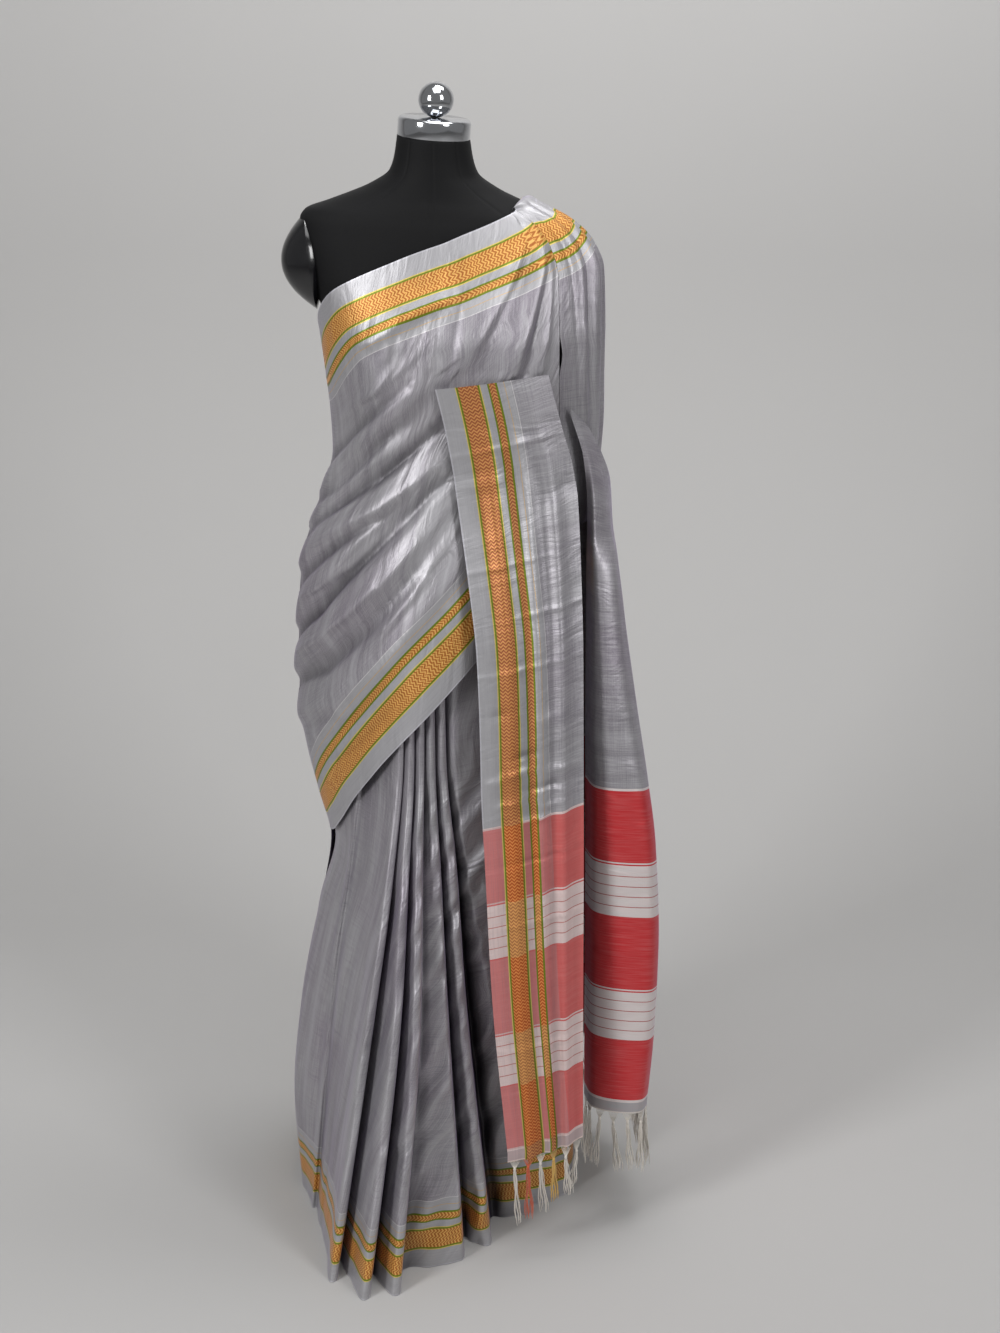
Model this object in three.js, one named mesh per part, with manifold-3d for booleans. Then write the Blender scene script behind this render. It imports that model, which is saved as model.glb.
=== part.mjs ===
// A silk saree draped on a limbless dress form that stands on a pole and a round base.
// Millimetres, +Z up. The front faces -Y and the wearer's left is +X.
// The origin is the centre of the base's underside, on the floor.
//
// Every cloth piece is a thin wall. Its outer face is worked out from the sections
// and folds in the tables below, and its inner face lies one cloth thickness inside.

import * as THREE from 'three';
import { mergeVertices } from 'three/addons/utils/BufferGeometryUtils.js';
import Module from 'manifold-3d';

// Driving sizes
const CLOTH = 1.6;              // thickness of a cloth wall
const SEAM = 0.5;               // half the space left where two stretches of cloth meet
const HEM = 0.6;                // lowest point of the cloth above the floor
const NECK_X = 3;               // the neck leans a little to the wearer's left
const SHOULDER_TILT = 0.04;     // fall of the shoulder line towards +X, per mm
const CAP_TILT = 4.5;           // tilt of the neck cap, in degrees
const CAP_RADIUS = 49;
const CAP_HEIGHT = 26;
const NECK_TOP = 1573;
const BALL_RADIUS = 23.7;
const BASE_RADIUS = 96;
const BASE_HEIGHT = 14;
const POLE_RADIUS = 15;
const FORM_BOTTOM = 790;
const PLATE_RIM = 165;          // the rim of each armhole plate, from the middle of the form
const PLATE_ROOT = 30;          // how far a plate starts behind its rim, inside the form
const PLATE_LEAN = 6;           // the plates look a little downward, in degrees

// Outline of the wrapped cloth: how far it reaches from the axis at each height.
// right is the close wrap, and fall is the loose cloth that hangs off the shoulder.
const OUTLINE = [
  { z: 0, left: 213, right: 198, fall: 206, front: 117, back: 188 },
  { z: 150, left: 221, right: 198, fall: 204, front: 118, back: 184 },
  { z: 300, left: 207, right: 192, fall: 194, front: 116, back: 172 },
  { z: 450, left: 178, right: 184, fall: 184, front: 116, back: 160 },
  { z: 570, left: 157, right: 181, fall: 182, front: 118, back: 152 },
  { z: 640, left: 173, right: 183, fall: 183, front: 120, back: 148 },
  { z: 711, left: 189, right: 184, fall: 184, front: 121, back: 146 },
  { z: 773, left: 197, right: 186, fall: 186, front: 121, back: 145 },
  { z: 850, left: 196, right: 187, fall: 188, front: 123, back: 143 },
  { z: 924, left: 194, right: 184, fall: 192, front: 123, back: 140 },
  { z: 983, left: 188, right: 178, fall: 200, front: 122, back: 134 },
  { z: 1042, left: 173, right: 166, fall: 214, front: 118, back: 122 },
  { z: 1100, left: 152, right: 152, fall: 226, front: 111, back: 108 },
  { z: 1150, left: 141, right: 144, fall: 231, front: 109, back: 99 },
  { z: 1200, left: 143, right: 145, fall: 233, front: 114, back: 98 },
  { z: 1260, left: 149, right: 150, fall: 232, front: 129, back: 101 },
  { z: 1310, left: 155, right: 156, fall: 232, front: 131, back: 106 },
  { z: 1353, left: 162, right: 163, fall: 231, front: 121, back: 108 },
  { z: 1400, left: 172, right: 172, fall: 229, front: 102, back: 104 },
  { z: 1436, left: 175, right: 175, fall: 215, front: 91, back: 98 },
  { z: 1455, left: 173, right: 173, fall: 199, front: 85, back: 92 },
  { z: 1470, left: 168, right: 168, fall: 179, front: 80, back: 86 },
  { z: 1484, left: 150, right: 150, fall: 152, front: 76, back: 80 },
  { z: 1496, left: 130, right: 130, fall: 130, front: 70, back: 74 },
];

// The stack of pleats pushes the cloth over it forward by this much.
const BULK = [
  { z: 570, out: 88 },
  { z: 650, out: 74 },
  { z: 750, out: 56 },
  { z: 880, out: 46 },
  { z: 960, out: 36 },
  { z: 1040, out: 22 },
  { z: 1130, out: 8 },
  { z: 1240, out: 0 },
];
const BULK_SPREAD = 34;         // degrees to either side of the middle

// Sections of the dress form.
const FORM = [
  { z: 790, side: 158, front: 96, back: 118 },
  { z: 850, side: 166, front: 104, back: 124 },
  { z: 924, side: 164, front: 105, back: 122 },
  { z: 983, side: 155, front: 101, back: 114 },
  { z: 1042, side: 140, front: 96, back: 101 },
  { z: 1100, side: 125, front: 90, back: 89 },
  { z: 1150, side: 120, front: 90, back: 82 },
  { z: 1200, side: 124, front: 97, back: 84 },
  { z: 1260, side: 131, front: 107, back: 89 },
  { z: 1310, side: 137, front: 109, back: 94 },
  { z: 1353, side: 154, front: 100, back: 96 },
  { z: 1400, side: 169, front: 84, back: 92 },
  { z: 1440, side: 178, front: 75, back: 84 },
  { z: 1460, side: 180, front: 70, back: 79 },
  { z: 1472, side: 173, front: 66, back: 75 },
  { z: 1484, side: 144, front: 62, back: 70 },
  { z: 1495, side: 117, front: 58, back: 66 },
  { z: 1508, side: 88, front: 55, back: 62 },
  { z: 1528, side: 60, front: 52, back: 57 },
  { z: 1548, side: 53, front: 50, back: 52 },
  { z: NECK_TOP, side: 49, front: 49, back: 49 },
];

// Upper and lower edges of the cloth across the chest, by angle from the front.
const CHEST_EDGES = [
  { turn: -90, low: 577, top: 1318 },
  { turn: -70, low: 590, top: 1352 },
  { turn: -53, low: 620, top: 1378 },
  { turn: -37, low: 672, top: 1397 },
  { turn: -19, low: 743, top: 1418 },
  { turn: -9, low: 783, top: 1430 },
  { turn: 3, low: 829, top: 1443 },
  { turn: 13, low: 864, top: 1456 },
  { turn: 25, low: 905, top: 1468 },
  { turn: 36, low: 945, top: 1477 },
  { turn: 48, low: 1010, top: 1484 },
];

// Folds that run across the chest from the wearer's right hip to the left shoulder.
const CHEST_FOLDS = [
  { turn: [-86, -43, -16, 0], z: [1090, 1173, 1226, 1272], rise: 7, width: 19 },
  { turn: [-84, -40, -14, 6], z: [1046, 1139, 1181, 1234], rise: 6, width: 16 },
  { turn: [-84, -49, -26, 6], z: [985, 1054, 1092, 1166], rise: 8, width: 19 },
  { turn: [-84, -44, -26, 6], z: [900, 1005, 1081, 1150], rise: 7, width: 18 },
  { turn: [-84, -49, -22, 8], z: [830, 896, 989, 1112], rise: 11, width: 22 },
  { turn: [-84, -45, -20, 10], z: [758, 800, 880, 1030], rise: 7, width: 22 },
  { turn: [-30, -16, 4, 24], z: [1320, 1345, 1375, 1420], rise: 4, width: 16 },
  { turn: [10, 20, 28, 38], z: [1290, 1350, 1410, 1462], rise: 6, width: 14 },
  { turn: [28, 34, 40, 45], z: [1280, 1340, 1410, 1468], rise: 7, width: 12 },
];

// Outer fold lines of the front pleats at four heights, from the wearer's right to left.
// depth is how far the cloth turns back behind each fold, at the hem.
const PLEAT_LEVELS = { hem: 0, knee: 400, thigh: 570, hip: 740, top: 940 };
const PLEATS = [
  { hem: [-188, -110], knee: [-147, -112], thigh: [-121, -104], hip: [-103, -97], top: [-114, -100], depth: 6 },
  { hem: [-146, -305], knee: [-86, -236], thigh: [-62, -198], hip: [-45, -157], top: [-42, -143], depth: 62 },
  { hem: [-97, -350], knee: [-50, -258], thigh: [-40, -212], hip: [-30, -160], top: [-28, -146], depth: 70 },
  { hem: [-54, -342], knee: [-23, -256], thigh: [-20, -211], hip: [-16, -161], top: [-14, -147], depth: 66 },
  { hem: [35, -256], knee: [12, -212], thigh: [5, -186], hip: [-1, -160], top: [-1, -147], depth: 72 },
  { hem: [74, -217], knee: [37, -190], thigh: [27, -176], hip: [14, -157], top: [12, -145], depth: 82 },
  { hem: [128, -129], knee: [74, -148], thigh: [48, -152], hip: [31, -150], top: [26, -140], depth: 16 },
];
const PLEAT_END = { hem: [140, -127], knee: [112, -132], thigh: [98, -137], hip: [82, -136], top: [72, -128] };
const PLEAT_DEPTH = { hem: 1, knee: 0.72, thigh: 0.5, hip: 0.27, top: 0.2 };

// Lower and upper edges of the outer wrap, from the left front round the back.
const WRAP_EDGES = [
  { turn: 30, low: HEM, top: 1030 },
  { turn: 90, low: HEM, top: 1052 },
  { turn: 135, low: HEM, top: 1110 },
  { turn: 180, low: HEM, top: 1180 },
  { turn: 205, low: HEM, top: 1220 },
  { turn: 218, low: 24, top: 1244 },
  { turn: 230, low: 92, top: 1264 },
  { turn: 243, low: 236, top: 1284 },
  { turn: 256, low: 430, top: 1302 },
  { turn: 270, low: 577, top: 1318 },
];

// Upright folds of the outer wrap and of the inner skirt: angle at the hem and at
// the top, how far they stand out at the hem, and how wide they are in degrees.
const WRAP_FOLDS = [
  { turn: 50, high: 54, rise: 5, width: 6 },
  { turn: 66, high: 70, rise: 7, width: 7 },
  { turn: 92, high: 92, rise: 8, width: 8 },
  { turn: 117, high: 114, rise: 7, width: 8 },
  { turn: 142, high: 136, rise: 5, width: 7 },
  { turn: 163, high: 158, rise: 7, width: 8 },
  { turn: 186, high: 184, rise: 9, width: 7 },
  { turn: 207, high: 212, rise: 11, width: 8 },
  { turn: 229, high: 236, rise: 8, width: 7 },
];
const FOLD_FADE = 1000;         // height at which the upright folds have run out

// The pallu in front: left border edge and right fold, and where they lie at each height.
// drop is how much lower the cross lines of the cloth lie at the left edge.
const PANEL = [
  { z: 1272, left: 3, leftY: -140.8, right: 157, rightY: -108.8 },
  { z: 1200, left: 19, leftY: -133, right: 176, rightY: -106 },
  { z: 1150, left: 28, leftY: -132, right: 190, rightY: -104 },
  { z: 1100, left: 35, leftY: -138, right: 198, rightY: -110 },
  { z: 1000, left: 49, leftY: -163, right: 203, rightY: -130 },
  { z: 900, left: 60, leftY: -180, right: 206, rightY: -152 },
  { z: 800, left: 64, leftY: -188, right: 207, rightY: -168 },
  { z: 700, left: 66, leftY: -194, right: 208, rightY: -178 },
  { z: 600, left: 71, leftY: -200, right: 209, rightY: -186 },
  { z: 400, left: 81, leftY: -214, right: 210, rightY: -200 },
  { z: 160, left: 103, leftY: -228, right: 212, rightY: -211 },
];
const PANEL_TOP = 1274;
const PANEL_BOTTOM = 163;
const PANEL_DROP = 32;
const PANEL_FOLDS = [
  { across: 0.3, rise: 7, width: 0.07 },
  { across: 0.58, rise: 6, width: 0.06 },
  { across: 0.8, rise: 9, width: 0.07 },
];

// The pallu at the side: it turns back behind the front fold, comes forward again
// to an outer fold, and goes round to the back. A row for each height.
const SIDE = [
  { z: 1212, valley: [188, -82], nose: [196, -76], outer: [206, -62], back: [226, 20] },
  { z: 1150, valley: [206, -74], nose: [214, -71], outer: [226, -50], back: [236, 30] },
  { z: 1090, valley: [212, -66], nose: [220, -76], outer: [238, -52], back: [239, 38] },
  { z: 1040, valley: [213, -52], nose: [221, -84], outer: [242, -62], back: [241, 44] },
  { z: 1000, valley: [212, -60], nose: [222, -98], outer: [249, -92], back: [246, 48] },
  { z: 900, valley: [212, -76], nose: [223, -116], outer: [260, -112], back: [256, 52] },
  { z: 800, valley: [212, -88], nose: [224, -128], outer: [274, -128], back: [266, 55] },
  { z: 700, valley: [213, -94], nose: [226, -134], outer: [290, -140], back: [277, 58] },
  { z: 600, valley: [214, -98], nose: [227, -136], outer: [303, -148], back: [287, 60] },
  { z: 450, valley: [215, -100], nose: [228, -136], outer: [310, -152], back: [294, 62] },
  { z: 300, valley: [216, -100], nose: [228, -136], outer: [306, -152], back: [292, 64] },
  { z: 172, valley: [217, -98], nose: [227, -134], outer: [297, -150], back: [286, 66] },
];
const SIDE_BOTTOM = 172;
const SIDE_SLANT = 14;          // how much higher the end of the side stretch lies in front
const SIDE_MEETS_FALL = 1064;   // height where the side stretch ends at the back
const SIDE_EDGE = [
  { along: 0, z: 1222 },
  { along: 0.25, z: 1190 },
  { along: 0.5, z: 1130 },
  { along: 0.75, z: 1085 },
  { along: 1, z: SIDE_MEETS_FALL },
];

// The free inner edge of the pallu at the back, from the shoulder down to its end.
// Its outer edge meets the shoulder fall above and the side stretch below.
const BACK = [
  { z: 1488, x: 124, y: 40 },
  { z: 1470, x: 110, y: 67 },
  { z: 1440, x: 92, y: 85 },
  { z: 1400, x: 76, y: 100 },
  { z: 1330, x: 54, y: 111 },
  { z: 1240, x: 34, y: 116 },
  { z: 1140, x: 16, y: 119 },
  { z: 1040, x: 0, y: 137 },
  { z: 900, x: -18, y: 156 },
  { z: 700, x: -34, y: 168 },
  { z: 450, x: -46, y: 186 },
  { z: 172, x: -56, y: 208 },
];
const BACK_FOLDS = [
  { across: 0.14, rise: 12, width: 0.045 },
  { across: 0.3, rise: 17, width: 0.05 },
  { across: 0.45, rise: 13, width: 0.045 },
  { across: 0.6, rise: 18, width: 0.05 },
  { across: 0.76, rise: 14, width: 0.045 },
  { across: 0.89, rise: 9, width: 0.035 },
];
const BACK_BOW = 42;            // how far the back stands out between its two edges

// Knotted tassels on a narrow strip under the end of the pallu. gap is the space
// between cloth and strip, every is the spacing of the tassels.
const FRINGE = { gap: 0.7, strip: 6, thick: 2.6, strand: 1.8, every: 21, spread: 4.5 };

const MATERIALS = {
  form: { color: 0x17171a, roughness: 0.82, metalness: 0 },
  plate: { color: 0x0c0c0e, roughness: 0.18, metalness: 0 },
  chrome: { color: 0xc9ccd0, roughness: 0.12, metalness: 1 },
  steel: { color: 0x3a3b3f, roughness: 0.4, metalness: 0.8 },
  silk: { color: 0x9a97a0, roughness: 0.45, metalness: 0.1 },
  pallu: { color: 0xb0505a, roughness: 0.5, metalness: 0.05 },
  fringe: { color: 0xcfc8c0, roughness: 0.7, metalness: 0 },
};

const group = new THREE.Group();

function add(name, geometry, material) {
  const mesh = new THREE.Mesh(geometry, new THREE.MeshStandardMaterial(MATERIALS[material]));
  mesh.name = name;
  group.add(mesh);
  return mesh;
}

const radians = THREE.MathUtils.degToRad;

// A smooth curve through the rows of a table that never overshoots its points.
function curve(rows, along, key) {
  const sorted = [...rows].sort((p, q) => p[along] - q[along]);
  const x = sorted.map((row) => row[along]);
  const y = sorted.map((row) => key(row));
  const last = x.length - 1;
  const slope = [];
  for (let i = 0; i < last; i += 1) slope.push((y[i + 1] - y[i]) / (x[i + 1] - x[i]));
  const tangent = [slope[0]];
  for (let i = 1; i < last; i += 1) {
    const turns = slope[i - 1] * slope[i] <= 0;
    tangent.push(turns ? 0 : (2 * slope[i - 1] * slope[i]) / (slope[i - 1] + slope[i]));
  }
  tangent.push(slope[last - 1]);
  return (at) => {
    if (at <= x[0]) return y[0];
    if (at >= x[last]) return y[last];
    let i = 0;
    while (at > x[i + 1]) i += 1;
    const step = x[i + 1] - x[i];
    const t = (at - x[i]) / step;
    const a = (1 + 2 * t) * (1 - t) ** 2;
    const b = t * (1 - t) ** 2;
    const c = t * t * (3 - 2 * t);
    const d = t * t * (t - 1);
    return a * y[i] + b * step * tangent[i] + c * y[i + 1] + d * step * tangent[i + 1];
  };
}

const byHeight = (rows, key) => curve(rows, 'z', (row) => row[key]);
const bell = (distance, width) => Math.exp(-((distance / width) ** 2));

const wrapLow = curve(WRAP_EDGES, 'turn', (row) => row.low);
const wrapTop = curve(WRAP_EDGES, 'turn', (row) => row.top);
const chestLow = curve(CHEST_EDGES, 'turn', (row) => row.low);
const chestTop = curve(CHEST_EDGES, 'turn', (row) => row.top);

const outline = {};
for (const key of ['left', 'right', 'fall', 'front', 'back']) outline[key] = byHeight(OUTLINE, key);
const bulk = byHeight(BULK, 'out');

// A point of the cloth's outline. turn is in degrees from the front towards +X.
function around(turn, z, { out = 0, right = 'right', bulky = false } = {}) {
  const angle = radians(turn);
  const s = Math.sin(angle);
  const c = Math.cos(angle);
  const corner = 2 / (2 + 1.1 * THREE.MathUtils.clamp(1 - z / 700, 0, 1));
  const across = (s > 0 ? outline[right](z) : outline.left(z)) + out;
  const folded = turn > 180 ? turn - 360 : turn;
  const push = bulky ? bulk(z) * bell(folded, BULK_SPREAD) : 0;
  const bust = 8 * bell(z - 1275, 62) * (bell(folded + 34, 17) + bell(folded - 34, 17));
  const deep = (c > 0 ? outline.front(z) + push + bust : outline.back(z)) + out;
  const x = Math.sign(s) * Math.abs(s) ** corner * across;
  const y = -Math.sign(c) * Math.abs(c) ** corner * deep;
  return new THREE.Vector3(x, y, z);
}

// Normals of a grid of points, lengthened at folds so that the wall keeps its thickness.
function gridNormals(grid, closed) {
  const rows = grid.length;
  const columns = grid[0].length;
  const faces = [];
  for (let j = 0; j < rows - 1; j += 1) {
    const row = [];
    for (let i = 0; i < (closed ? columns : columns - 1); i += 1) {
      const k = (i + 1) % columns;
      const first = grid[j + 1][k].clone().sub(grid[j][i]);
      const second = grid[j + 1][i].clone().sub(grid[j][k]);
      row.push(first.cross(second).normalize());
    }
    faces.push(row);
  }
  return grid.map((row, j) => row.map((_, i) => {
    const near = [];
    for (const b of [j - 1, j]) {
      for (const a of [i - 1, i]) {
        const wrapped = closed ? (a + columns) % columns : a;
        if (faces[b] && faces[b][wrapped]) near.push(faces[b][wrapped]);
      }
    }
    const sum = near.reduce((total, face) => total.add(face), new THREE.Vector3()).normalize();
    const spread = Math.min(...near.map((face) => face.dot(sum)));
    return sum.multiplyScalar(1 / Math.max(spread, 0.45));
  }));
}

// A closed wall of cloth. grid holds rows of outer points, each running left to right
// as seen from outside, and the rows go upward.
function wall(grid, { closed = false, thickness = CLOTH } = {}) {
  const rows = grid.length;
  const columns = grid[0].length;
  const normals = gridNormals(grid, closed);
  const positions = [];
  for (const side of [0, thickness]) {
    for (let j = 0; j < rows; j += 1) {
      for (let i = 0; i < columns; i += 1) {
        const point = grid[j][i].clone().addScaledVector(normals[j][i], -side);
        if (j === 0) point.z = Math.max(grid[j][i].z, HEM);
        positions.push(point.x, point.y, point.z);
      }
    }
  }
  const inner = rows * columns;
  const index = [];
  const quad = (a, b, c, d) => index.push(a, b, c, a, c, d);
  const corner = (k) => grid[Math.floor(k / columns)][k % columns];
  const apart = (k, m) => corner(k).distanceTo(corner(m));
  const spans = closed ? columns : columns - 1;
  for (let j = 0; j < rows - 1; j += 1) {
    for (let i = 0; i < spans; i += 1) {
      const a = j * columns + i;
      const b = j * columns + ((i + 1) % columns);
      const c = b + columns;
      const d = a + columns;
      // Both sides of the wall bend along the shorter diagonal, so that they never cross.
      if (apart(a, c) < apart(b, d)) {
        quad(a, b, c, d);
        quad(inner + a, inner + d, inner + c, inner + b);
      } else {
        quad(b, c, d, a);
        quad(inner + b, inner + a, inner + d, inner + c);
      }
    }
  }
  for (let i = 0; i < spans; i += 1) {
    const k = (i + 1) % columns;
    const top = (rows - 1) * columns;
    quad(k, i, inner + i, inner + k);
    quad(top + i, top + k, inner + top + k, inner + top + i);
  }
  if (!closed) {
    for (let j = 0; j < rows - 1; j += 1) {
      const a = j * columns;
      const b = a + columns - 1;
      quad(a, a + columns, inner + a + columns, inner + a);
      quad(b + columns, b, inner + b, inner + b + columns);
    }
  }
  return indexed(positions, index);
}

function indexed(positions, index) {
  const geometry = new THREE.BufferGeometry();
  geometry.setAttribute('position', new THREE.Float32BufferAttribute(positions, 3));
  geometry.setIndex(index);
  geometry.computeVertexNormals();
  return geometry;
}

// A solid through closed rings of points, with a flat end at each side.
function loft(rings) {
  const count = rings[0].length;
  const positions = rings.flat().flatMap((point) => point.toArray());
  const index = [];
  for (let j = 0; j < rings.length - 1; j += 1) {
    for (let i = 0; i < count; i += 1) {
      const a = j * count + i;
      const b = j * count + ((i + 1) % count);
      index.push(a, b, b + count, a, b + count, a + count);
    }
  }
  for (const [ring, up] of [[0, false], [rings.length - 1, true]]) {
    const centre = new THREE.Vector3();
    rings[ring].forEach((point) => centre.add(point));
    centre.divideScalar(count);
    const hub = positions.length / 3;
    positions.push(...centre.toArray());
    for (let i = 0; i < count; i += 1) {
      const a = ring * count + i;
      const b = ring * count + ((i + 1) % count);
      if (up) index.push(hub, a, b);
      else index.push(hub, b, a);
    }
  }
  return indexed(positions, index);
}

// Rows of points between a lower and an upper edge that change with the angle.
function between(turns, rows, low, top, pointAt) {
  const grid = [];
  for (let j = 0; j <= rows; j += 1) {
    grid.push(turns.map((turn) => {
      const z = low(turn) + ((top(turn) - low(turn)) * j) / rows;
      return pointAt(turn, z);
    }));
  }
  return grid;
}

const steps = (from, to, count) => (
  Array.from({ length: count + 1 }, (_, i) => from + ((to - from) * i) / count)
);

// Dress form
function formRing(row, out = 0) {
  const ring = [];
  const rise = THREE.MathUtils.smoothstep(row.z, 1400, 1470);
  const lean = row.z >= NECK_TOP ? Math.tan(radians(CAP_TILT)) : SHOULDER_TILT * rise;
  const middle = NECK_X * THREE.MathUtils.smoothstep(row.z, 1400, 1520);
  const count = 36;
  for (let i = 0; i < count; i += 1) {
    const turn = (360 * i) / count;
    const folded = turn > 180 ? turn - 360 : turn;
    const s = Math.sin(radians(turn));
    const c = Math.cos(radians(turn));
    const bust = 12 * bell(row.z - 1275, 58) * (bell(folded + 34, 17) + bell(folded - 34, 17));
    const deep = (c > 0 ? row.front + bust : row.back) + out;
    const x = s * (row.side + out);
    ring.push(new THREE.Vector3(middle + x, -c * deep, row.z - lean * x));
  }
  return ring;
}

const torso = loft(FORM.map((row) => formRing(row)));
add('form_torso', torso, 'form');

// The domed plate that closes each armhole, cut to the side of the form.
const wasm = await Module();
wasm.setup();

function solidOf(geometry) {
  const bare = new THREE.BufferGeometry();
  bare.setAttribute('position', geometry.getAttribute('position').clone());
  if (geometry.index) bare.setIndex(geometry.index.clone());
  const merged = mergeVertices(bare, 1e-4);
  return new wasm.Manifold(new wasm.Mesh({
    numProp: 3,
    vertProperties: new Float32Array(merged.getAttribute('position').array),
    triVerts: new Uint32Array(merged.index.array),
  }));
}

function geometryOf(solid) {
  const mesh = solid.getMesh();
  return indexed(Array.from(mesh.vertProperties), Array.from(mesh.triVerts));
}

function armPlate(sign, reach, tall, deep, middleZ) {
  const points = [new THREE.Vector2(0, 0)];
  for (const angle of steps(0, 90, 5)) {
    const across = angle === 90 ? 0 : Math.cos(radians(angle));
    points.push(new THREE.Vector2(across, PLATE_ROOT + reach * (1 - across * across)));
  }
  const geometry = new THREE.LatheGeometry(points, 18);
  geometry.scale(deep, 1, tall);
  geometry.rotateZ(sign > 0 ? -Math.PI / 2 : Math.PI / 2);
  geometry.rotateY(sign * radians(PLATE_LEAN));
  geometry.translate(sign * (PLATE_RIM - PLATE_ROOT), 2, middleZ);
  return geometryOf(solidOf(geometry).subtract(solidOf(loft(FORM.map((row) => formRing(row, 0.4))))));
}

add('armhole_plate_right', armPlate(-1, 41, 66, 48, 1411), 'plate');
add('armhole_plate_left', armPlate(1, 32, 58, 44, 1396), 'plate');

// Neck cap, its ball, the pole and the base
const capProfile = [
  [0, 0], [CAP_RADIUS - 1, 0], [CAP_RADIUS, 1], [CAP_RADIUS, CAP_HEIGHT - 5],
  [CAP_RADIUS - 1.5, CAP_HEIGHT - 1.5], [CAP_RADIUS - 5, CAP_HEIGHT], [0, CAP_HEIGHT],
];
const neckCap = new THREE.LatheGeometry(capProfile.map(([r, h]) => new THREE.Vector2(r, h)), 32);
neckCap.rotateX(Math.PI / 2);
neckCap.rotateY(radians(CAP_TILT));
neckCap.translate(NECK_X, 0, NECK_TOP + 0.4);
add('neck_cap', neckCap, 'chrome');

const ballProfile = [[0, 0]];
for (const angle of steps(-73, 90, 9)) {
  const r = angle === 90 ? 0 : BALL_RADIUS * Math.cos(radians(angle));
  ballProfile.push([r, BALL_RADIUS * (Math.sin(radians(73)) + Math.sin(radians(angle)))]);
}
const ball = new THREE.LatheGeometry(ballProfile.map(([r, h]) => new THREE.Vector2(r, h)), 20);
ball.rotateX(Math.PI / 2);
ball.rotateY(radians(CAP_TILT));
const capTop = CAP_HEIGHT + 0.8;
ball.translate(
  NECK_X + capTop * Math.sin(radians(CAP_TILT)),
  0,
  NECK_TOP + capTop * Math.cos(radians(CAP_TILT)),
);
add('cap_ball', ball, 'chrome');

const baseProfile = [
  [0, 0], [BASE_RADIUS, 0], [BASE_RADIUS, 6], [BASE_RADIUS - 6, BASE_HEIGHT - 2],
  [BASE_RADIUS - 14, BASE_HEIGHT], [0, BASE_HEIGHT],
];
const base = new THREE.LatheGeometry(baseProfile.map(([r, h]) => new THREE.Vector2(r, h)), 32);
base.rotateX(Math.PI / 2);
add('stand_base', base, 'steel');

const poleLength = FORM_BOTTOM - BASE_HEIGHT - 0.8;
const pole = new THREE.CylinderGeometry(POLE_RADIUS, POLE_RADIUS, poleLength, 20);
pole.rotateX(Math.PI / 2);
pole.translate(0, 0, BASE_HEIGHT + 0.4 + poleLength / 2);
add('stand_pole', pole, 'steel');

// Upright folds that fade out upward
function uprightFolds(folds, turn, z) {
  const fade = THREE.MathUtils.clamp(1 - z / FOLD_FADE, 0, 1) ** 1.3;
  return folds.reduce((total, fold) => {
    const middle = fold.turn + ((fold.high - fold.turn) * z) / FOLD_FADE;
    return total + fold.rise * fade * bell(turn - middle, fold.width);
  }, 0);
}

// Inner turn of the skirt, closed all the way round. It fits the form at the waist.
const skirtInset = (z) => -13 - 1.15 * THREE.MathUtils.smoothstep(z, 720, 900);
const skirtTurns = steps(0, 360, 48).slice(0, -1);
const skirtLevels = [HEM, 150, 310, 450, 570, 660, 780, 900, 1010];
const skirtGrid = skirtLevels.map((z) => skirtTurns.map((turn) => around(turn, z, { out: skirtInset(z) })));
add('skirt_wrap', wall(skirtGrid, { closed: true }), 'silk');

// Front pleats. A section is a list of points from the wearer's right to left.
const levelNames = Object.keys(PLEAT_LEVELS);
function foldLine(row, part) {
  const table = levelNames.map((name) => ({ z: PLEAT_LEVELS[name], at: row[name][part] }));
  return curve(table, 'z', (level) => level.at);
}
const pleatLines = PLEATS.map((row) => ({ x: foldLine(row, 0), y: foldLine(row, 1), depth: row.depth }));
const pleatEnd = { x: foldLine(PLEAT_END, 0), y: foldLine(PLEAT_END, 1) };
const depthTable = levelNames.map((name) => ({ z: PLEAT_LEVELS[name], share: PLEAT_DEPTH[name] }));
const pleatDepth = curve(depthTable, 'z', (level) => level.share);

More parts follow.
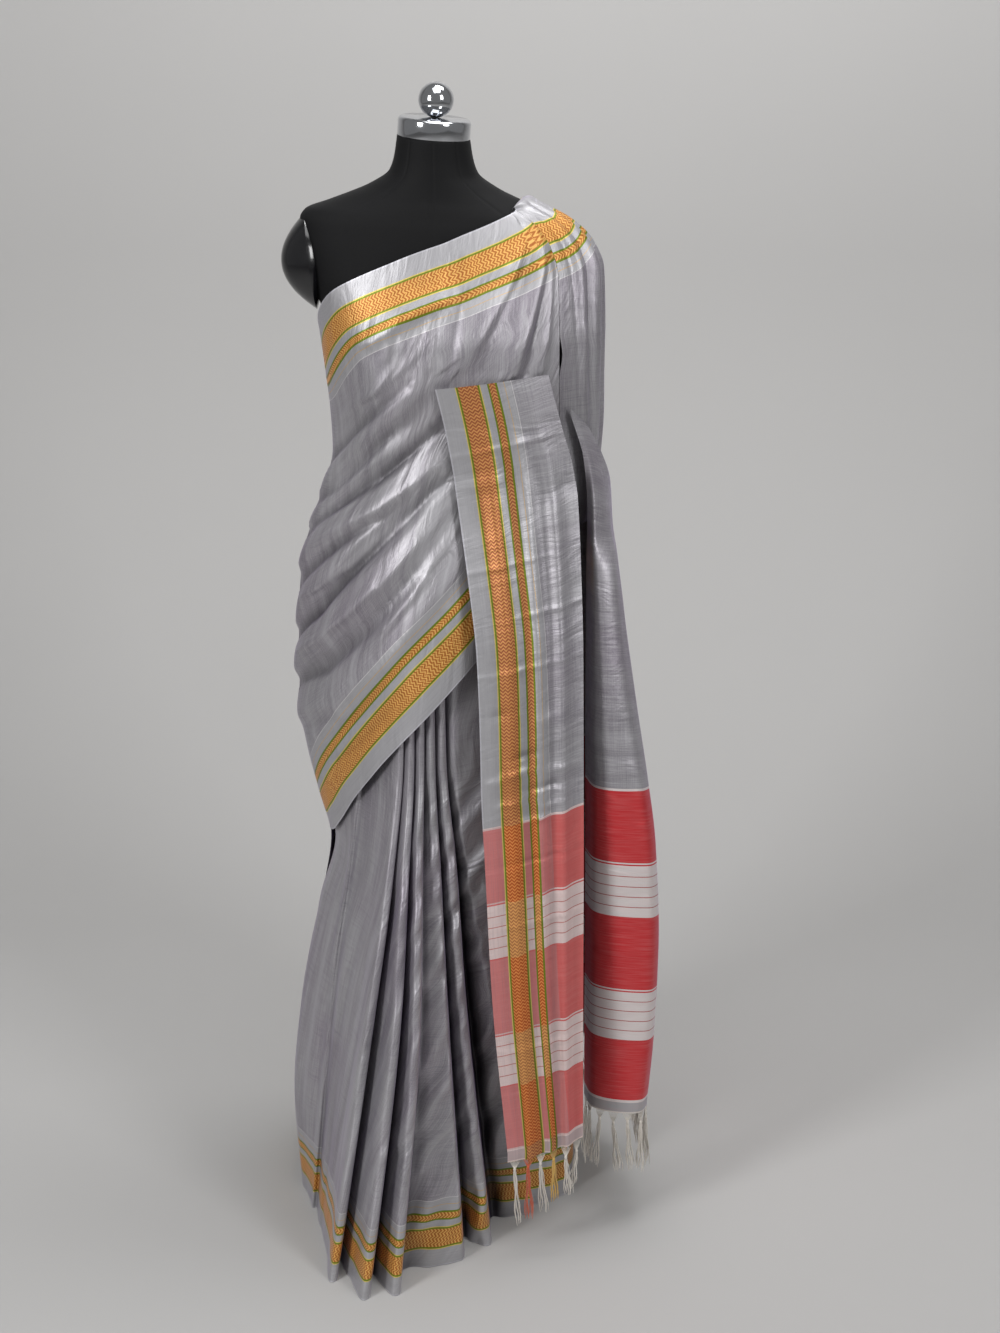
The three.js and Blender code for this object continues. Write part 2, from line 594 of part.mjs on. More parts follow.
const LEAST_DEPTH = 20; // a fold that is less deep has no valley behind it
function pleatSection(z) {
  const corners = [];
  for (const turn of [-104, -97, -90, -82, -72]) {
    const edge = turn < -90 ? wrapLow(turn + 360) : chestLow(turn);
    const tuck = -7 * THREE.MathUtils.smoothstep(z, edge - 110, edge - 15)
      - 6.5 * THREE.MathUtils.smoothstep(z, 850, 940);
    corners.push(around(turn, z, { out: tuck }));
  }
  const first = pleatLines[0];
  const lead = corners[corners.length - 1];
  const snug = THREE.MathUtils.smoothstep(z, 480, 720);
  for (const [share, turn] of [[0.35, -63], [0.7, -54]]) {
    const straight = new THREE.Vector3(
      lead.x + (first.x(z) - lead.x) * share,
      lead.y + (first.y(z) - lead.y) * share,
      z,
    );
    corners.push(straight.lerp(around(turn, z, { out: -6 }), snug));
  }
  pleatLines.forEach((line, i) => {
    const next = pleatLines[i + 1] ?? pleatEnd;
    const ridge = new THREE.Vector3(line.x(z), line.y(z), z);
    const depth = line.depth * pleatDepth(z);
    const valley = new THREE.Vector3(ridge.x + 0.02 * depth, ridge.y + depth, z);
    const goal = new THREE.Vector3(next.x(z), next.y(z), z);
    const round = Math.min(2 + 0.08 * depth, 5);
    corners.push(ridge.clone().add(new THREE.Vector3(-round, -0.2 * round, 0)));
    if (line.depth < LEAST_DEPTH) {
      const past = ridge.clone().add(new THREE.Vector3(round, 0, 0));
      for (const share of [0, 0.12, 0.34, 0.64]) corners.push(past.clone().lerp(goal, share));
      return;
    }
    corners.push(ridge.clone().add(new THREE.Vector3(0.7 * round, 0.7 * round, 0)));
    corners.push(valley.clone().add(new THREE.Vector3(0.5 * round, -round, 0)));
    corners.push(valley.clone().lerp(goal, 0.12));
    corners.push(valley.clone().lerp(goal, 0.5).add(new THREE.Vector3(-2, -0.06 * depth, 0)));
  });
  corners.push(new THREE.Vector3(pleatEnd.x(z), pleatEnd.y(z), z));
  return corners;
}
const pleatLevels = [HEM, 90, 190, 290, 390, 480, 570, 660, 750, 850, 940];
add('front_pleats', wall(pleatLevels.map(pleatSection)), 'silk');

// Outer wrap round the hip and back
const wrapTurns = [30, ...steps(38, 262, 36), 270 - SEAM / 3];
const wrapGrid = between(wrapTurns, 10, wrapLow, wrapTop, (turn, z) => (
  around(turn, z, { out: uprightFolds(WRAP_FOLDS, turn, z) * (turn > 245 ? 0.4 : 1) })
));
add('hip_wrap', wall(wrapGrid), 'silk');

// Folds that run at a slant: distance to a short line of points, in mm over the cloth
function slantFolds(folds, turn, z) {
  const here = new THREE.Vector3(turn * 2.75, z, 0);
  return folds.reduce((total, fold) => {
    let nearest = Infinity;
    for (let i = 0; i < fold.turn.length - 1; i += 1) {
      const line = new THREE.Line3(
        new THREE.Vector3(fold.turn[i] * 2.75, fold.z[i], 0),
        new THREE.Vector3(fold.turn[i + 1] * 2.75, fold.z[i + 1], 0),
      );
      const near = line.closestPointToPoint(here, true, new THREE.Vector3());
      nearest = Math.min(nearest, near.distanceTo(here));
    }
    return total + fold.rise * bell(nearest, fold.width);
  }, 0);
}

// Cloth across the chest, from the wearer's right side to the left shoulder
const chestTurns = [-90 + SEAM / 3, ...steps(-84, 42, 25), 47.4];
const chestGrid = between(chestTurns, 19, chestLow, chestTop, (turn, z) => (
  around(turn, z, { out: slantFolds(CHEST_FOLDS, turn, z), right: 'fall', bulky: true })
));
add('chest_drape', wall(chestGrid), 'silk');

// Loose cloth that hangs off the left shoulder. Its front edge meets the chest cloth,
// and stands away from it for a short way, which leaves a small hollow under the pin.
const fallEdge = curve([
  { z: 1040, turn: 49 }, { z: 1180, turn: 48.1 }, { z: 1262, turn: 48.1 }, { z: 1288, turn: 52 },
  { z: 1308, turn: 52 }, { z: 1328, turn: 48.1 }, { z: 1500, turn: 48.1 },
], 'z', (row) => row.turn);
const fallLow = 1046;
const fallTop = curve([
  { turn: 47, z: 1484 }, { turn: 70, z: 1489 }, { turn: 90, z: 1490 }, { turn: 102, z: 1489 },
], 'turn', (row) => row.z);
const FALL_END = 103;
const FALL_FOLDS = [
  { turn: [62, 60, 60, 62], z: [1480, 1400, 1330, 1200], rise: 6, width: 12 },
  { turn: [76, 75, 74, 74], z: [1484, 1420, 1340, 1150], rise: 7, width: 13 },
  { turn: [90, 90, 90, 91], z: [1484, 1400, 1300, 1120], rise: 5, width: 12 },
];
function fallPoint(share, rise) {
  const z = fallLow + (fallTop(47.8 + (FALL_END - 47.8) * share) - fallLow) * rise;
  const turn = fallEdge(z) + (FALL_END - fallEdge(z)) * share;
  const settled = THREE.MathUtils.smoothstep(share, 0, 0.15) * THREE.MathUtils.smoothstep(1 - share, 0, 0.2);
  return around(turn, z, { right: 'fall', out: slantFolds(FALL_FOLDS, turn, z) * settled });
}
const fallGrid = steps(0, 1, 13).map((rise) => steps(0, 1, 14).map((share) => fallPoint(share, rise)));
add('shoulder_fall', wall(fallGrid), 'silk');

// The pallu in front
const panel = {};
for (const key of ['left', 'leftY', 'right', 'rightY']) panel[key] = byHeight(PANEL, key);
function panelPoint(across, rise) {
  const lift = PANEL_DROP * (across - 0.5) * (1 - rise) + 14 * (across - 0.5) * rise;
  const z = PANEL_BOTTOM + (PANEL_TOP - 7 - PANEL_BOTTOM) * rise + lift;
  const free = THREE.MathUtils.smoothstep(PANEL_TOP - z, 0, 260);
  const out = PANEL_FOLDS.reduce((total, fold) => total + fold.rise * bell(across - fold.across, fold.width), 0);
  const x = panel.left(z) + (panel.right(z) - panel.left(z)) * across;
  const y = panel.leftY(z) + (panel.rightY(z) - panel.leftY(z)) * across ** 1.2;
  return new THREE.Vector3(x, y - out * free - 6 * Math.sin(Math.PI * across), z);
}
const panelGrid = steps(0, 1, 12).map((rise) => steps(0, 1, 16).map((across) => panelPoint(across, rise)));
add('pallu_front', wall(panelGrid), 'pallu');

// The pallu at the side
const sideAt = {};
for (const key of ['valley', 'nose', 'outer', 'back']) {
  sideAt[key] = [0, 1].map((part) => curve(SIDE, 'z', (row) => row[key][part]));
}
function sidePoint(along, z) {
  const corners = ['valley', 'nose', 'outer', 'back'].map((key) => (
    new THREE.Vector3(sideAt[key][0](z), sideAt[key][1](z), z)
  ));
  const full = Math.min(1, corners[1].distanceTo(corners[2]) / 45);
  const bulge = new THREE.Vector3(-4, -10, 0).multiplyScalar(full);
  corners.splice(2, 0, corners[1].clone().lerp(corners[2], 0.5).add(bulge));
  corners.splice(4, 0, corners[3].clone().lerp(corners[4], 0.5).add(new THREE.Vector3(9, 0, 0)));
  return new THREE.CatmullRomCurve3(corners, false, 'centripetal').getPoint(along);
}
const sideTop = curve(SIDE_EDGE, 'along', (row) => row.z);
const sideLow = (along) => SIDE_BOTTOM + SIDE_SLANT * (1 - THREE.MathUtils.smoothstep(along, 0.3, 0.6));
const sideGrid = steps(0, 1, 14).map((rise) => steps(0, 1, 18).map((along) => (
  sidePoint(along, sideLow(along) + (sideTop(along) - sideLow(along)) * rise)
)));
add('pallu_side', wall(sideGrid), 'pallu');

// The pallu at the back
const backInner = [byHeight(BACK, 'x'), byHeight(BACK, 'y')];
function backPoint(across, z) {
  const below = new THREE.Vector3(sideAt.back[0](z), sideAt.back[1](z) + 2.8 * SEAM, z);
  const above = around(FALL_END + 1.2 * SEAM, z, { right: 'fall' });
  const outer = below.lerp(above, THREE.MathUtils.smoothstep(z, SIDE_MEETS_FALL, SIDE_MEETS_FALL + 50));
  const inner = new THREE.Vector3(backInner[0](z), backInner[1](z), z);
  const span = outer.distanceTo(inner);
  const away = inner.clone().sub(outer).normalize();
  const normal = new THREE.Vector3(away.y, -away.x, 0);
  const bow = BACK_BOW * Math.min(span / 200, 1) * Math.sin(Math.PI * across) ** 0.8;
  const free = THREE.MathUtils.clamp((span - 60) / 180, 0, 1);
  const out = BACK_FOLDS.reduce((total, fold) => total + fold.rise * bell(across - fold.across, fold.width), 0);
  return outer.lerp(inner, across).addScaledVector(normal, bow + out * free);
}
const backLevels = [172, 300, 440, 590, 740, 880, 1000, 1070, 1150, 1250, 1340, 1400, 1440, 1470, 1488];
const backGrid = backLevels.map((z) => steps(0, 1, 28).map((across) => backPoint(across, z)));
add('pallu_back', wall(backGrid), 'pallu');

// Tassels: strands of three sides whose roots run into the strip
function strand(root, tip, radius) {
  const rings = [0, 1].map((along) => {
    const middle = root.clone().lerp(tip, along);
    const r = radius * (1 - 0.45 * along);
    return [90, 210, 330].map((turn) => middle.clone().add(
      new THREE.Vector3(r * Math.cos(radians(turn)), r * Math.sin(radians(turn)), 0),
    ));
  });
  return loft(rings.reverse());
}

// cloth holds the outer points of a lower edge, and lowest gives the height of the tips.
function fringe(cloth, strandsEach, lowest) {
  const edge = cloth.filter((_, i) => i % 2 === 0 || i === cloth.length - 1);
  const last = edge.length - 1;
  edge[0] = edge[0].clone().lerp(edge[1], 0.06);
  edge[last] = edge[last].clone().lerp(edge[last - 1], 0.06);
  const top = edge.map((point) => point.clone().setZ(point.z - FRINGE.gap));
  const low = edge.map((point) => point.clone().setZ(point.z - FRINGE.gap - FRINGE.strip));
  let solid = solidOf(wall([low, top], { thickness: FRINGE.thick }));
  const line = new THREE.CatmullRomCurve3(low, false, 'catmullrom', 0);
  const count = Math.round(line.getLength() / FRINGE.every);
  for (let i = 0; i < count; i += 1) {
    const along = (i + 0.5) / count;
    const tangent = line.getTangentAt(along);
    const inward = new THREE.Vector3(-tangent.y, tangent.x, 0).setLength(FRINGE.thick / 2);
    const knot = line.getPointAt(along).add(inward);
    knot.z += FRINGE.strip / 2;
    const sway = ((i * 5) % 7) - 3;
    for (let k = 0; k < strandsEach; k += 1) {
      const side = k - (strandsEach - 1) / 2;
      const root = knot.clone().addScaledVector(tangent, side * FRINGE.spread);
      const tip = root.clone().addScaledVector(tangent, side * 1.5 + 0.7 * sway);
      tip.z = lowest(along) + ((i * 3 + k * 2) % 5) * 3;
      solid = solid.add(solidOf(strand(root, tip, FRINGE.strand)));
    }
  }
  return geometryOf(solid);
}
add('fringe_front', fringe(panelGrid[0], 3, (along) => 52 + 52 * along), 'fringe');
add('fringe_side', fringe(sideGrid[0], 2, () => 88), 'fringe');
add('fringe_back', fringe(backGrid[0], 2, () => 84), 'fringe');

export default group;
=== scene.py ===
import math

import bmesh
import bpy
import numpy as np
from mathutils import Matrix, Vector


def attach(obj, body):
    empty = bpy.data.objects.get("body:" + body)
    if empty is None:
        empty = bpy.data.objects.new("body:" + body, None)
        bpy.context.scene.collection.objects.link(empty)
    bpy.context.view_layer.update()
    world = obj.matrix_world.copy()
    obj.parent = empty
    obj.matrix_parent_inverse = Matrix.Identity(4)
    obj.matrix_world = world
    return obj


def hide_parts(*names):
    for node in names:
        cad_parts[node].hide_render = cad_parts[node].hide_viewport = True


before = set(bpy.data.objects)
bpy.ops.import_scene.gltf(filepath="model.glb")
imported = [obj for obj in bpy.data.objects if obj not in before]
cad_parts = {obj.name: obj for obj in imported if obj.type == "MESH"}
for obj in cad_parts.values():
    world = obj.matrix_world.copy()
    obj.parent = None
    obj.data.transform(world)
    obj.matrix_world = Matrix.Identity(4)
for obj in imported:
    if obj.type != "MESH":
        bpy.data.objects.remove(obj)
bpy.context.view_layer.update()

# All tables are in millimetres and are turned to metres by MM.
# The front faces -Y, the wearer's left is +X, and the floor is z = 0.
MM = 0.001
HEM = 0.6
SEAM = 0.5
FOLD_FADE = 1000
FALL_END = 103
CAP_TILT = math.radians(4.5)
NECK_X = 3
NECK_TOP = 1573
CAP_HEIGHT = 26
CLOTH_WIDTH = 1.14          # metres, the usual width of a saree
SIDE_FROM_EDGE = 0.3        # metres from the woven edge to where the side fold begins


def curve(xs, ys):
    """A smooth curve through the points that never overshoots them, for arrays."""
    order = np.argsort(xs)
    x = np.asarray(xs, float)[order]
    y = np.asarray(ys, float)[order]
    slope = np.diff(y) / np.diff(x)
    tangent = np.zeros(len(x))
    tangent[0], tangent[-1] = slope[0], slope[-1]
    for i in range(1, len(x) - 1):
        a, b = slope[i - 1], slope[i]
        tangent[i] = 0 if a * b <= 0 else 2 * a * b / (a + b)

    def at(value):
        v = np.clip(value, x[0], x[-1])
        i = np.clip(np.searchsorted(x, v, side="right") - 1, 0, len(x) - 2)
        step = x[i + 1] - x[i]
        t = (v - x[i]) / step
        return ((1 + 2 * t) * (1 - t) ** 2 * y[i] + t * (1 - t) ** 2 * step * tangent[i]
                + t * t * (3 - 2 * t) * y[i + 1] + t * t * (t - 1) * step * tangent[i + 1])
    return at


def columns(rows, key, names):
    """One curve for each named column of a table."""
    return {n: curve([r[key] for r in rows], [r[n] for r in rows]) for n in names}


def table(names, *rows):
    """Rows of a table under named columns."""
    return [dict(zip(names.split(), row)) for row in rows]


def bell(distance, width):
    """1 at no distance, falling smoothly to nothing past about twice the width."""
    return np.exp(-((distance / width) ** 2))


def smooth(value, low, high):
    """0 below low, 1 above high, with an easy rise between."""
    t = np.clip((value - low) / (high - low), 0, 1)
    return t * t * (3 - 2 * t)


# Outline of the wrapped cloth at each height. fall is the loose cloth off the shoulder.
OUTLINE = table(
    "z left right fall front back",
    (0, 213, 198, 206, 117, 188), (150, 221, 198, 204, 118, 184), (300, 207, 192, 194, 116, 172),
    (450, 178, 184, 184, 116, 160), (570, 157, 181, 182, 118, 152), (640, 173, 183, 183, 120, 148),
    (711, 189, 184, 184, 121, 146), (773, 197, 186, 186, 121, 145), (850, 196, 187, 188, 123, 143),
    (924, 194, 184, 192, 123, 140), (983, 188, 178, 200, 122, 134), (1042, 173, 166, 214, 118, 122),
    (1100, 152, 152, 226, 111, 108), (1150, 141, 144, 231, 109, 99), (1200, 143, 145, 233, 114, 98),
    (1260, 149, 150, 232, 129, 101), (1310, 155, 156, 232, 131, 106), (1353, 162, 163, 231, 121, 108),
    (1400, 172, 172, 229, 102, 104), (1436, 175, 175, 215, 91, 98), (1455, 173, 173, 199, 85, 92),
    (1470, 168, 168, 179, 80, 86), (1484, 150, 150, 152, 76, 80), (1496, 130, 130, 130, 70, 74),
)
outline = columns(OUTLINE, "z", ["left", "right", "fall", "front", "back"])

# How far the stack of pleats pushes the cloth over it forward.
bulk = curve([570, 650, 750, 880, 960, 1040, 1130, 1240], [88, 74, 56, 46, 36, 22, 8, 0])
BULK_SPREAD = 34

# Sections of the dress form.
FORM = table(
    "z side front back",
    (790, 158, 96, 118), (850, 166, 104, 124), (924, 164, 105, 122), (983, 155, 101, 114),
    (1042, 140, 96, 101), (1100, 125, 90, 89), (1150, 120, 90, 82), (1200, 124, 97, 84),
    (1260, 131, 107, 89), (1310, 137, 109, 94), (1353, 154, 100, 96), (1400, 169, 84, 92),
    (1440, 178, 75, 84), (1460, 180, 70, 79), (1472, 173, 66, 75), (1484, 144, 62, 70),
    (1495, 117, 58, 66), (1508, 88, 55, 62), (1528, 60, 52, 57), (1548, 53, 50, 52),
    (NECK_TOP, 49, 49, 49),
)

# Edges of the cloth across the chest and of the outer wrap, by angle from the front.
CHEST_EDGES = table(
    "turn low top",
    (-90, 577, 1318), (-70, 590, 1352), (-53, 620, 1378), (-37, 672, 1397), (-19, 743, 1418),
    (-9, 783, 1430), (3, 829, 1443), (13, 864, 1456), (25, 905, 1468), (36, 945, 1477),
    (48, 1010, 1484),
)
WRAP_EDGES = table(
    "turn low top",
    (30, HEM, 1030), (90, HEM, 1052), (135, HEM, 1110), (180, HEM, 1180), (205, HEM, 1220),
    (218, 24, 1244), (230, 92, 1264), (243, 236, 1284), (256, 430, 1302), (270, 577, 1318),
)
chest_edge = columns(CHEST_EDGES, "turn", ["low", "top"])
wrap_edge = columns(WRAP_EDGES, "turn", ["low", "top"])

# Slanting folds: points by angle and height, how far each stands out, and its width.
CHEST_FOLDS = table(
    "turn z rise width",
    ([-86, -43, -16, 0], [1090, 1173, 1226, 1272], 7, 19),
    ([-84, -40, -14, 6], [1046, 1139, 1181, 1234], 6, 16),
    ([-84, -49, -26, 6], [985, 1054, 1092, 1166], 8, 19),
    ([-84, -44, -26, 6], [900, 1005, 1081, 1150], 7, 18),
    ([-84, -49, -22, 8], [830, 896, 989, 1112], 11, 22),
    ([-84, -45, -20, 10], [758, 800, 880, 1030], 7, 22),
    ([-30, -16, 4, 24], [1320, 1345, 1375, 1420], 4, 16),
    ([10, 20, 28, 38], [1290, 1350, 1410, 1462], 6, 14),
    ([28, 34, 40, 45], [1280, 1340, 1410, 1468], 7, 12),
)
# Finer creases on the same cloth, uneven as they lie. A negative rise is a trough.
CHEST_CREASES = table(
    "turn z rise width",
    ([-86, -56, -34, -12], [1124, 1166, 1212, 1262], -4.0, 8),
    ([-84, -60, -40, -22], [1068, 1100, 1146, 1192], -3.5, 7),
    ([-84, -58, -30, 2], [1022, 1068, 1124, 1196], -4.5, 8),
    ([-84, -62, -36, -10], [946, 990, 1054, 1112], -4.0, 9),
    ([-84, -54, -30, 4], [868, 930, 1016, 1128], -6.0, 9),
    ([-84, -50, -26, -4], [800, 846, 920, 1010], -3.5, 9),
    ([-70, -52, -36, -24], [862, 892, 938, 984], 2.6, 6),
    ([-74, -54, -38, -26], [936, 966, 1004, 1046], 2.4, 5),
    ([-76, -60, -44, -30], [1036, 1060, 1090, 1126], 2.2, 5),
    ([-40, -28, -16, -4], [1236, 1254, 1280, 1312], 1.6, 7),
    ([-58, -44, -30, -18], [1206, 1228, 1250, 1290], 1.8, 6),
    ([-62, -46, -34, -24], [740, 768, 806, 850], 2.2, 8),
    ([-48, -36, -24, -14], [712, 742, 786, 834], -2.0, 7),
    ([-20, -8, 4, 12], [930, 985, 1040, 1090], 2.4, 7),
    ([-34, -22, -12, -2], [858, 910, 958, 1004], 1.8, 6),
    ([0, 2, 3, 4], [1290, 1330, 1372, 1416], 2.0, 6),
    ([6, 8, 10, 11], [1284, 1330, 1380, 1424], -2.2, 6),
    ([17, 22, 25, 29], [1284, 1346, 1392, 1440], -2.4, 10),
    ([24, 29, 34, 38], [1284, 1340, 1400, 1450], -3.4, 11),
    ([33, 37, 41, 44], [1276, 1330, 1396, 1462], -3.6, 9),
    ([40, 42, 44, 46], [1280, 1330, 1400, 1470], 3.0, 7),
    ([-22, -19, -14, -8], [1300, 1330, 1356, 1386], 1.4, 7),
    ([-50, -40, -28, -14], [1296, 1306, 1322, 1344], 1.5, 8),
)
FALL_FOLDS = table(
    "turn z rise width",
    ([62, 60, 60, 62], [1480, 1400, 1330, 1200], 6, 12),
    ([76, 75, 74, 74], [1484, 1420, 1340, 1150], 7, 13),
    ([90, 90, 90, 91], [1484, 1400, 1300, 1120], 5, 12),
)
FALL_CREASES = table(
    "turn z rise width",
    ([56, 56, 58, 60], [1470, 1400, 1300, 1180], -3.5, 6),
    ([68, 67, 66, 68], [1484, 1410, 1300, 1150], -4.5, 7),
    ([83, 82, 81, 82], [1484, 1400, 1290, 1100], -4.0, 7),
    ([71, 70, 70, 72], [1360, 1300, 1220, 1120], 2.4, 5),
    ([96, 96, 96, 96], [1470, 1400, 1250, 1100], -3.5, 6),
    ([60, 64, 66, 66], [1330, 1290, 1240, 1150], 2.4, 6),
)

# Outer fold lines of the front pleats at five heights, as x and y.
PLEAT_LEVELS = [0, 400, 570, 740, 940]
PLEATS = [
    ([-188, -147, -121, -103, -114], [-110, -112, -104, -97, -100], 6),
    ([-146, -86, -62, -45, -42], [-305, -236, -198, -157, -143], 62),
    ([-97, -50, -40, -30, -28], [-350, -258, -212, -160, -146], 70),
    ([-54, -23, -20, -16, -14], [-342, -256, -211, -161, -147], 66),
    ([35, 12, 5, -1, -1], [-256, -212, -186, -160, -147], 72),
    ([74, 37, 27, 14, 12], [-217, -190, -176, -157, -145], 82),
    ([128, 74, 48, 31, 26], [-129, -148, -152, -150, -140], 16),
]
PLEAT_END = ([140, 112, 98, 82, 72], [-127, -132, -137, -136, -128])
pleat_depth = curve(PLEAT_LEVELS, [1, 0.72, 0.5, 0.27, 0.2])

WRAP_FOLDS = table(
    "turn high rise width",
    (50, 54, 5, 6), (66, 70, 7, 7), (92, 92, 8, 8), (117, 114, 7, 8), (142, 136, 5, 7),
    (163, 158, 7, 8), (186, 184, 9, 7), (207, 212, 11, 8), (229, 236, 8, 7),
)

PANEL = table(
    "z left leftY right rightY",
    (1272, 3, -140.8, 157, -108.8), (1200, 19, -133, 176, -106), (1150, 28, -132, 190, -104),
    (1100, 35, -138, 198, -110), (1000, 49, -163, 203, -130), (900, 60, -180, 206, -152),
    (800, 64, -188, 207, -168), (700, 66, -194, 208, -178), (600, 71, -200, 209, -186),
    (400, 81, -214, 210, -200), (160, 103, -228, 212, -211),
)
PANEL_TOP, PANEL_BOTTOM, PANEL_DROP = 1274, 163, 32
# Long folds: share across, how far out, and half width as a share.
PANEL_FOLDS = [(0.3, 7, 0.07), (0.58, 6, 0.06), (0.8, 9, 0.07)]

SIDE_KEYS = "z valley_x valley_y nose_x nose_y outer_x outer_y back_x back_y"
SIDE = table(
    SIDE_KEYS,
    (1212, 188, -82, 196, -76, 206, -62, 226, 20), (1150, 206, -74, 214, -71, 226, -50, 236, 30),
    (1090, 212, -66, 220, -76, 238, -52, 239, 38), (1040, 213, -52, 221, -84, 242, -62, 241, 44),
    (1000, 212, -60, 222, -98, 249, -92, 246, 48), (900, 212, -76, 223, -116, 260, -112, 256, 52),
    (800, 212, -88, 224, -128, 274, -128, 266, 55), (700, 213, -94, 226, -134, 290, -140, 277, 58),
    (600, 214, -98, 227, -136, 303, -148, 287, 60), (450, 215, -100, 228, -136, 310, -152, 294, 62),
    (300, 216, -100, 228, -136, 306, -152, 292, 64), (172, 217, -98, 227, -134, 297, -150, 286, 66),
)
SIDE_BOTTOM, SIDE_SLANT, SIDE_MEETS_FALL = 172, 14, 1064
side_top = curve([0, 0.25, 0.5, 0.75, 1], [1222, 1190, 1130, 1085, SIDE_MEETS_FALL])

BACK = table(
    "z x y",
    (1488, 124, 40), (1470, 110, 67), (1440, 92, 85), (1400, 76, 100), (1330, 54, 111),
    (1240, 34, 116), (1140, 16, 119), (1040, 0, 137), (900, -18, 156), (700, -34, 168),
    (450, -46, 186), (172, -56, 208),
)
# Folds and creases: share across, how far out, and half width as a share.
BACK_FOLDS = [(0.14, 12, 0.045), (0.3, 17, 0.05), (0.45, 13, 0.045), (0.6, 18, 0.05),
              (0.76, 14, 0.045), (0.89, 9, 0.035)]
BACK_CREASES = [(0.08, -3, 0.02), (0.22, -4, 0.022), (0.37, -5, 0.02), (0.53, -4, 0.022),
                (0.68, -5, 0.02), (0.83, -3.5, 0.02), (0.95, 2.5, 0.02), (0.34, 2.5, 0.012),
                (0.64, 2.5, 0.012)]
BACK_BOW = 42


# The cloth's surfaces, as grids of points in mm
def around(turn, z, out=0, right="right", bulky=False):
    """Points of the cloth's outline, as an array of x, y, z in mm."""
    turn, z, out = np.broadcast_arrays(np.asarray(turn, float), np.asarray(z, float), out)
    s, c = np.sin(np.radians(turn)), np.cos(np.radians(turn))
    corner = 2 / (2 + 1.1 * np.clip(1 - z / 700, 0, 1))
    across = np.where(s > 0, outline[right](z), outline["left"](z)) + out
    folded = np.where(turn > 180, turn - 360, turn)
    push = bulk(z) * bell(folded, BULK_SPREAD) if bulky else 0
    bust = 8 * bell(z - 1275, 62) * (bell(folded + 34, 17) + bell(folded - 34, 17))
    deep = np.where(c > 0, outline["front"](z) + push + bust, outline["back"](z)) + out
    return np.stack([np.sign(s) * np.abs(s) ** corner * across,
                     -np.sign(c) * np.abs(c) ** corner * deep, z], axis=-1)


def slant_folds(folds, turn, z, steep=1.0):
    """Height of the slanting folds over the cloth, from the distance to each fold line.
    With steep below 1, the lower side of each fold falls off sooner than the upper one."""
    total = np.zeros_like(turn, float)
    for fold in folds:
        px, pz = np.array(fold["turn"]) * 2.75, np.array(fold["z"], float)
        nearest = np.full(turn.shape, np.inf)
        reach = np.zeros_like(total)
        below = np.zeros_like(total)
        for i in range(len(px) - 1):
            dx, dz = px[i + 1] - px[i], pz[i + 1] - pz[i]
            t = ((turn * 2.75 - px[i]) * dx + (z - pz[i]) * dz) / (dx * dx + dz * dz)
            t = np.clip(t, 0, 1)
            d = np.hypot(turn * 2.75 - px[i] - t * dx, z - pz[i] - t * dz)
            along = (i + t) / (len(px) - 1)
            reach = np.where(d < nearest, along, reach)
            under = (z - pz[i]) * dx - (turn * 2.75 - px[i]) * dz < 0
            below = np.where(d < nearest, under, below)
            nearest = np.minimum(nearest, d)
        fade = 0.25 + 0.75 * np.sin(math.pi * np.clip(0.12 + 0.8 * reach, 0, 1))
        width = fold["width"] * np.where(below > 0, steep, 2 - steep)
        total += fold["rise"] * fade * bell(nearest, width)
    return total


def upright_folds(turn, z):
    """Height of the wrap's long folds, which fade out towards the waist."""
    fade = np.clip(1 - z / FOLD_FADE, 0, 1) ** 1.3
    total = np.zeros_like(turn, float)
    for fold in WRAP_FOLDS:
        middle = fold["turn"] + (fold["high"] - fold["turn"]) * z / FOLD_FADE
        total += fold["rise"] * fade * bell(turn - middle, fold["width"])
    return total


def between(turns, rows, edge):
    """A grid of angle and height between the lower and the upper edge of a cloth."""
    turn = np.broadcast_to(turns, (rows + 1, len(turns)))
    share = np.linspace(0, 1, rows + 1)[:, None]
    low, top = edge["low"](turn), edge["top"](turn)
    return turn, low + (top - low) * share


def skirt_grid():
    turn, z = np.meshgrid(np.linspace(0, 360, 193)[:-1], np.linspace(HEM, 1010, 70))
    inset = -13 - 1.15 * smooth(z, 720, 900)
    return around(turn, z, out=inset + 0.3)


def resample(points, count):
    """A smooth line through points, read at count even shares of its knots."""
    points = np.asarray(points, float)
    n = len(points)
    padded = np.concatenate([2 * points[:1] - points[1:2], points, 2 * points[-1:] - points[-2:-1]])
    chord = np.linalg.norm(np.diff(padded, axis=0), axis=1) ** 0.5
    knots = np.concatenate([[0], np.cumsum(np.maximum(chord, 1e-6))])
    spans = np.linspace(0, n - 1, count)
    i = np.clip(spans.astype(int), 0, n - 2)
    f = (spans - i)[:, None]
    t0, t1, t2, t3 = (knots[i + k][:, None] for k in range(4))
    p0, p1, p2, p3 = (padded[i + k] for k in range(4))
    t = t1 + (t2 - t1) * f
    a1 = (t1 - t) / (t1 - t0) * p0 + (t - t0) / (t1 - t0) * p1
    a2 = (t2 - t) / (t2 - t1) * p1 + (t - t1) / (t2 - t1) * p2
    a3 = (t3 - t) / (t3 - t2) * p2 + (t - t2) / (t3 - t2) * p3
    b1 = (t2 - t) / (t2 - t0) * a1 + (t - t0) / (t2 - t0) * a2
    b2 = (t3 - t) / (t3 - t1) * a2 + (t - t1) / (t3 - t1) * a3
    return (t2 - t) / (t2 - t1) * b1 + (t - t1) / (t2 - t1) * b2


pleat_lines = [(curve(PLEAT_LEVELS, x), curve(PLEAT_LEVELS, y), d) for x, y, d in PLEATS]
pleat_end = (curve(PLEAT_LEVELS, PLEAT_END[0]), curve(PLEAT_LEVELS, PLEAT_END[1]))


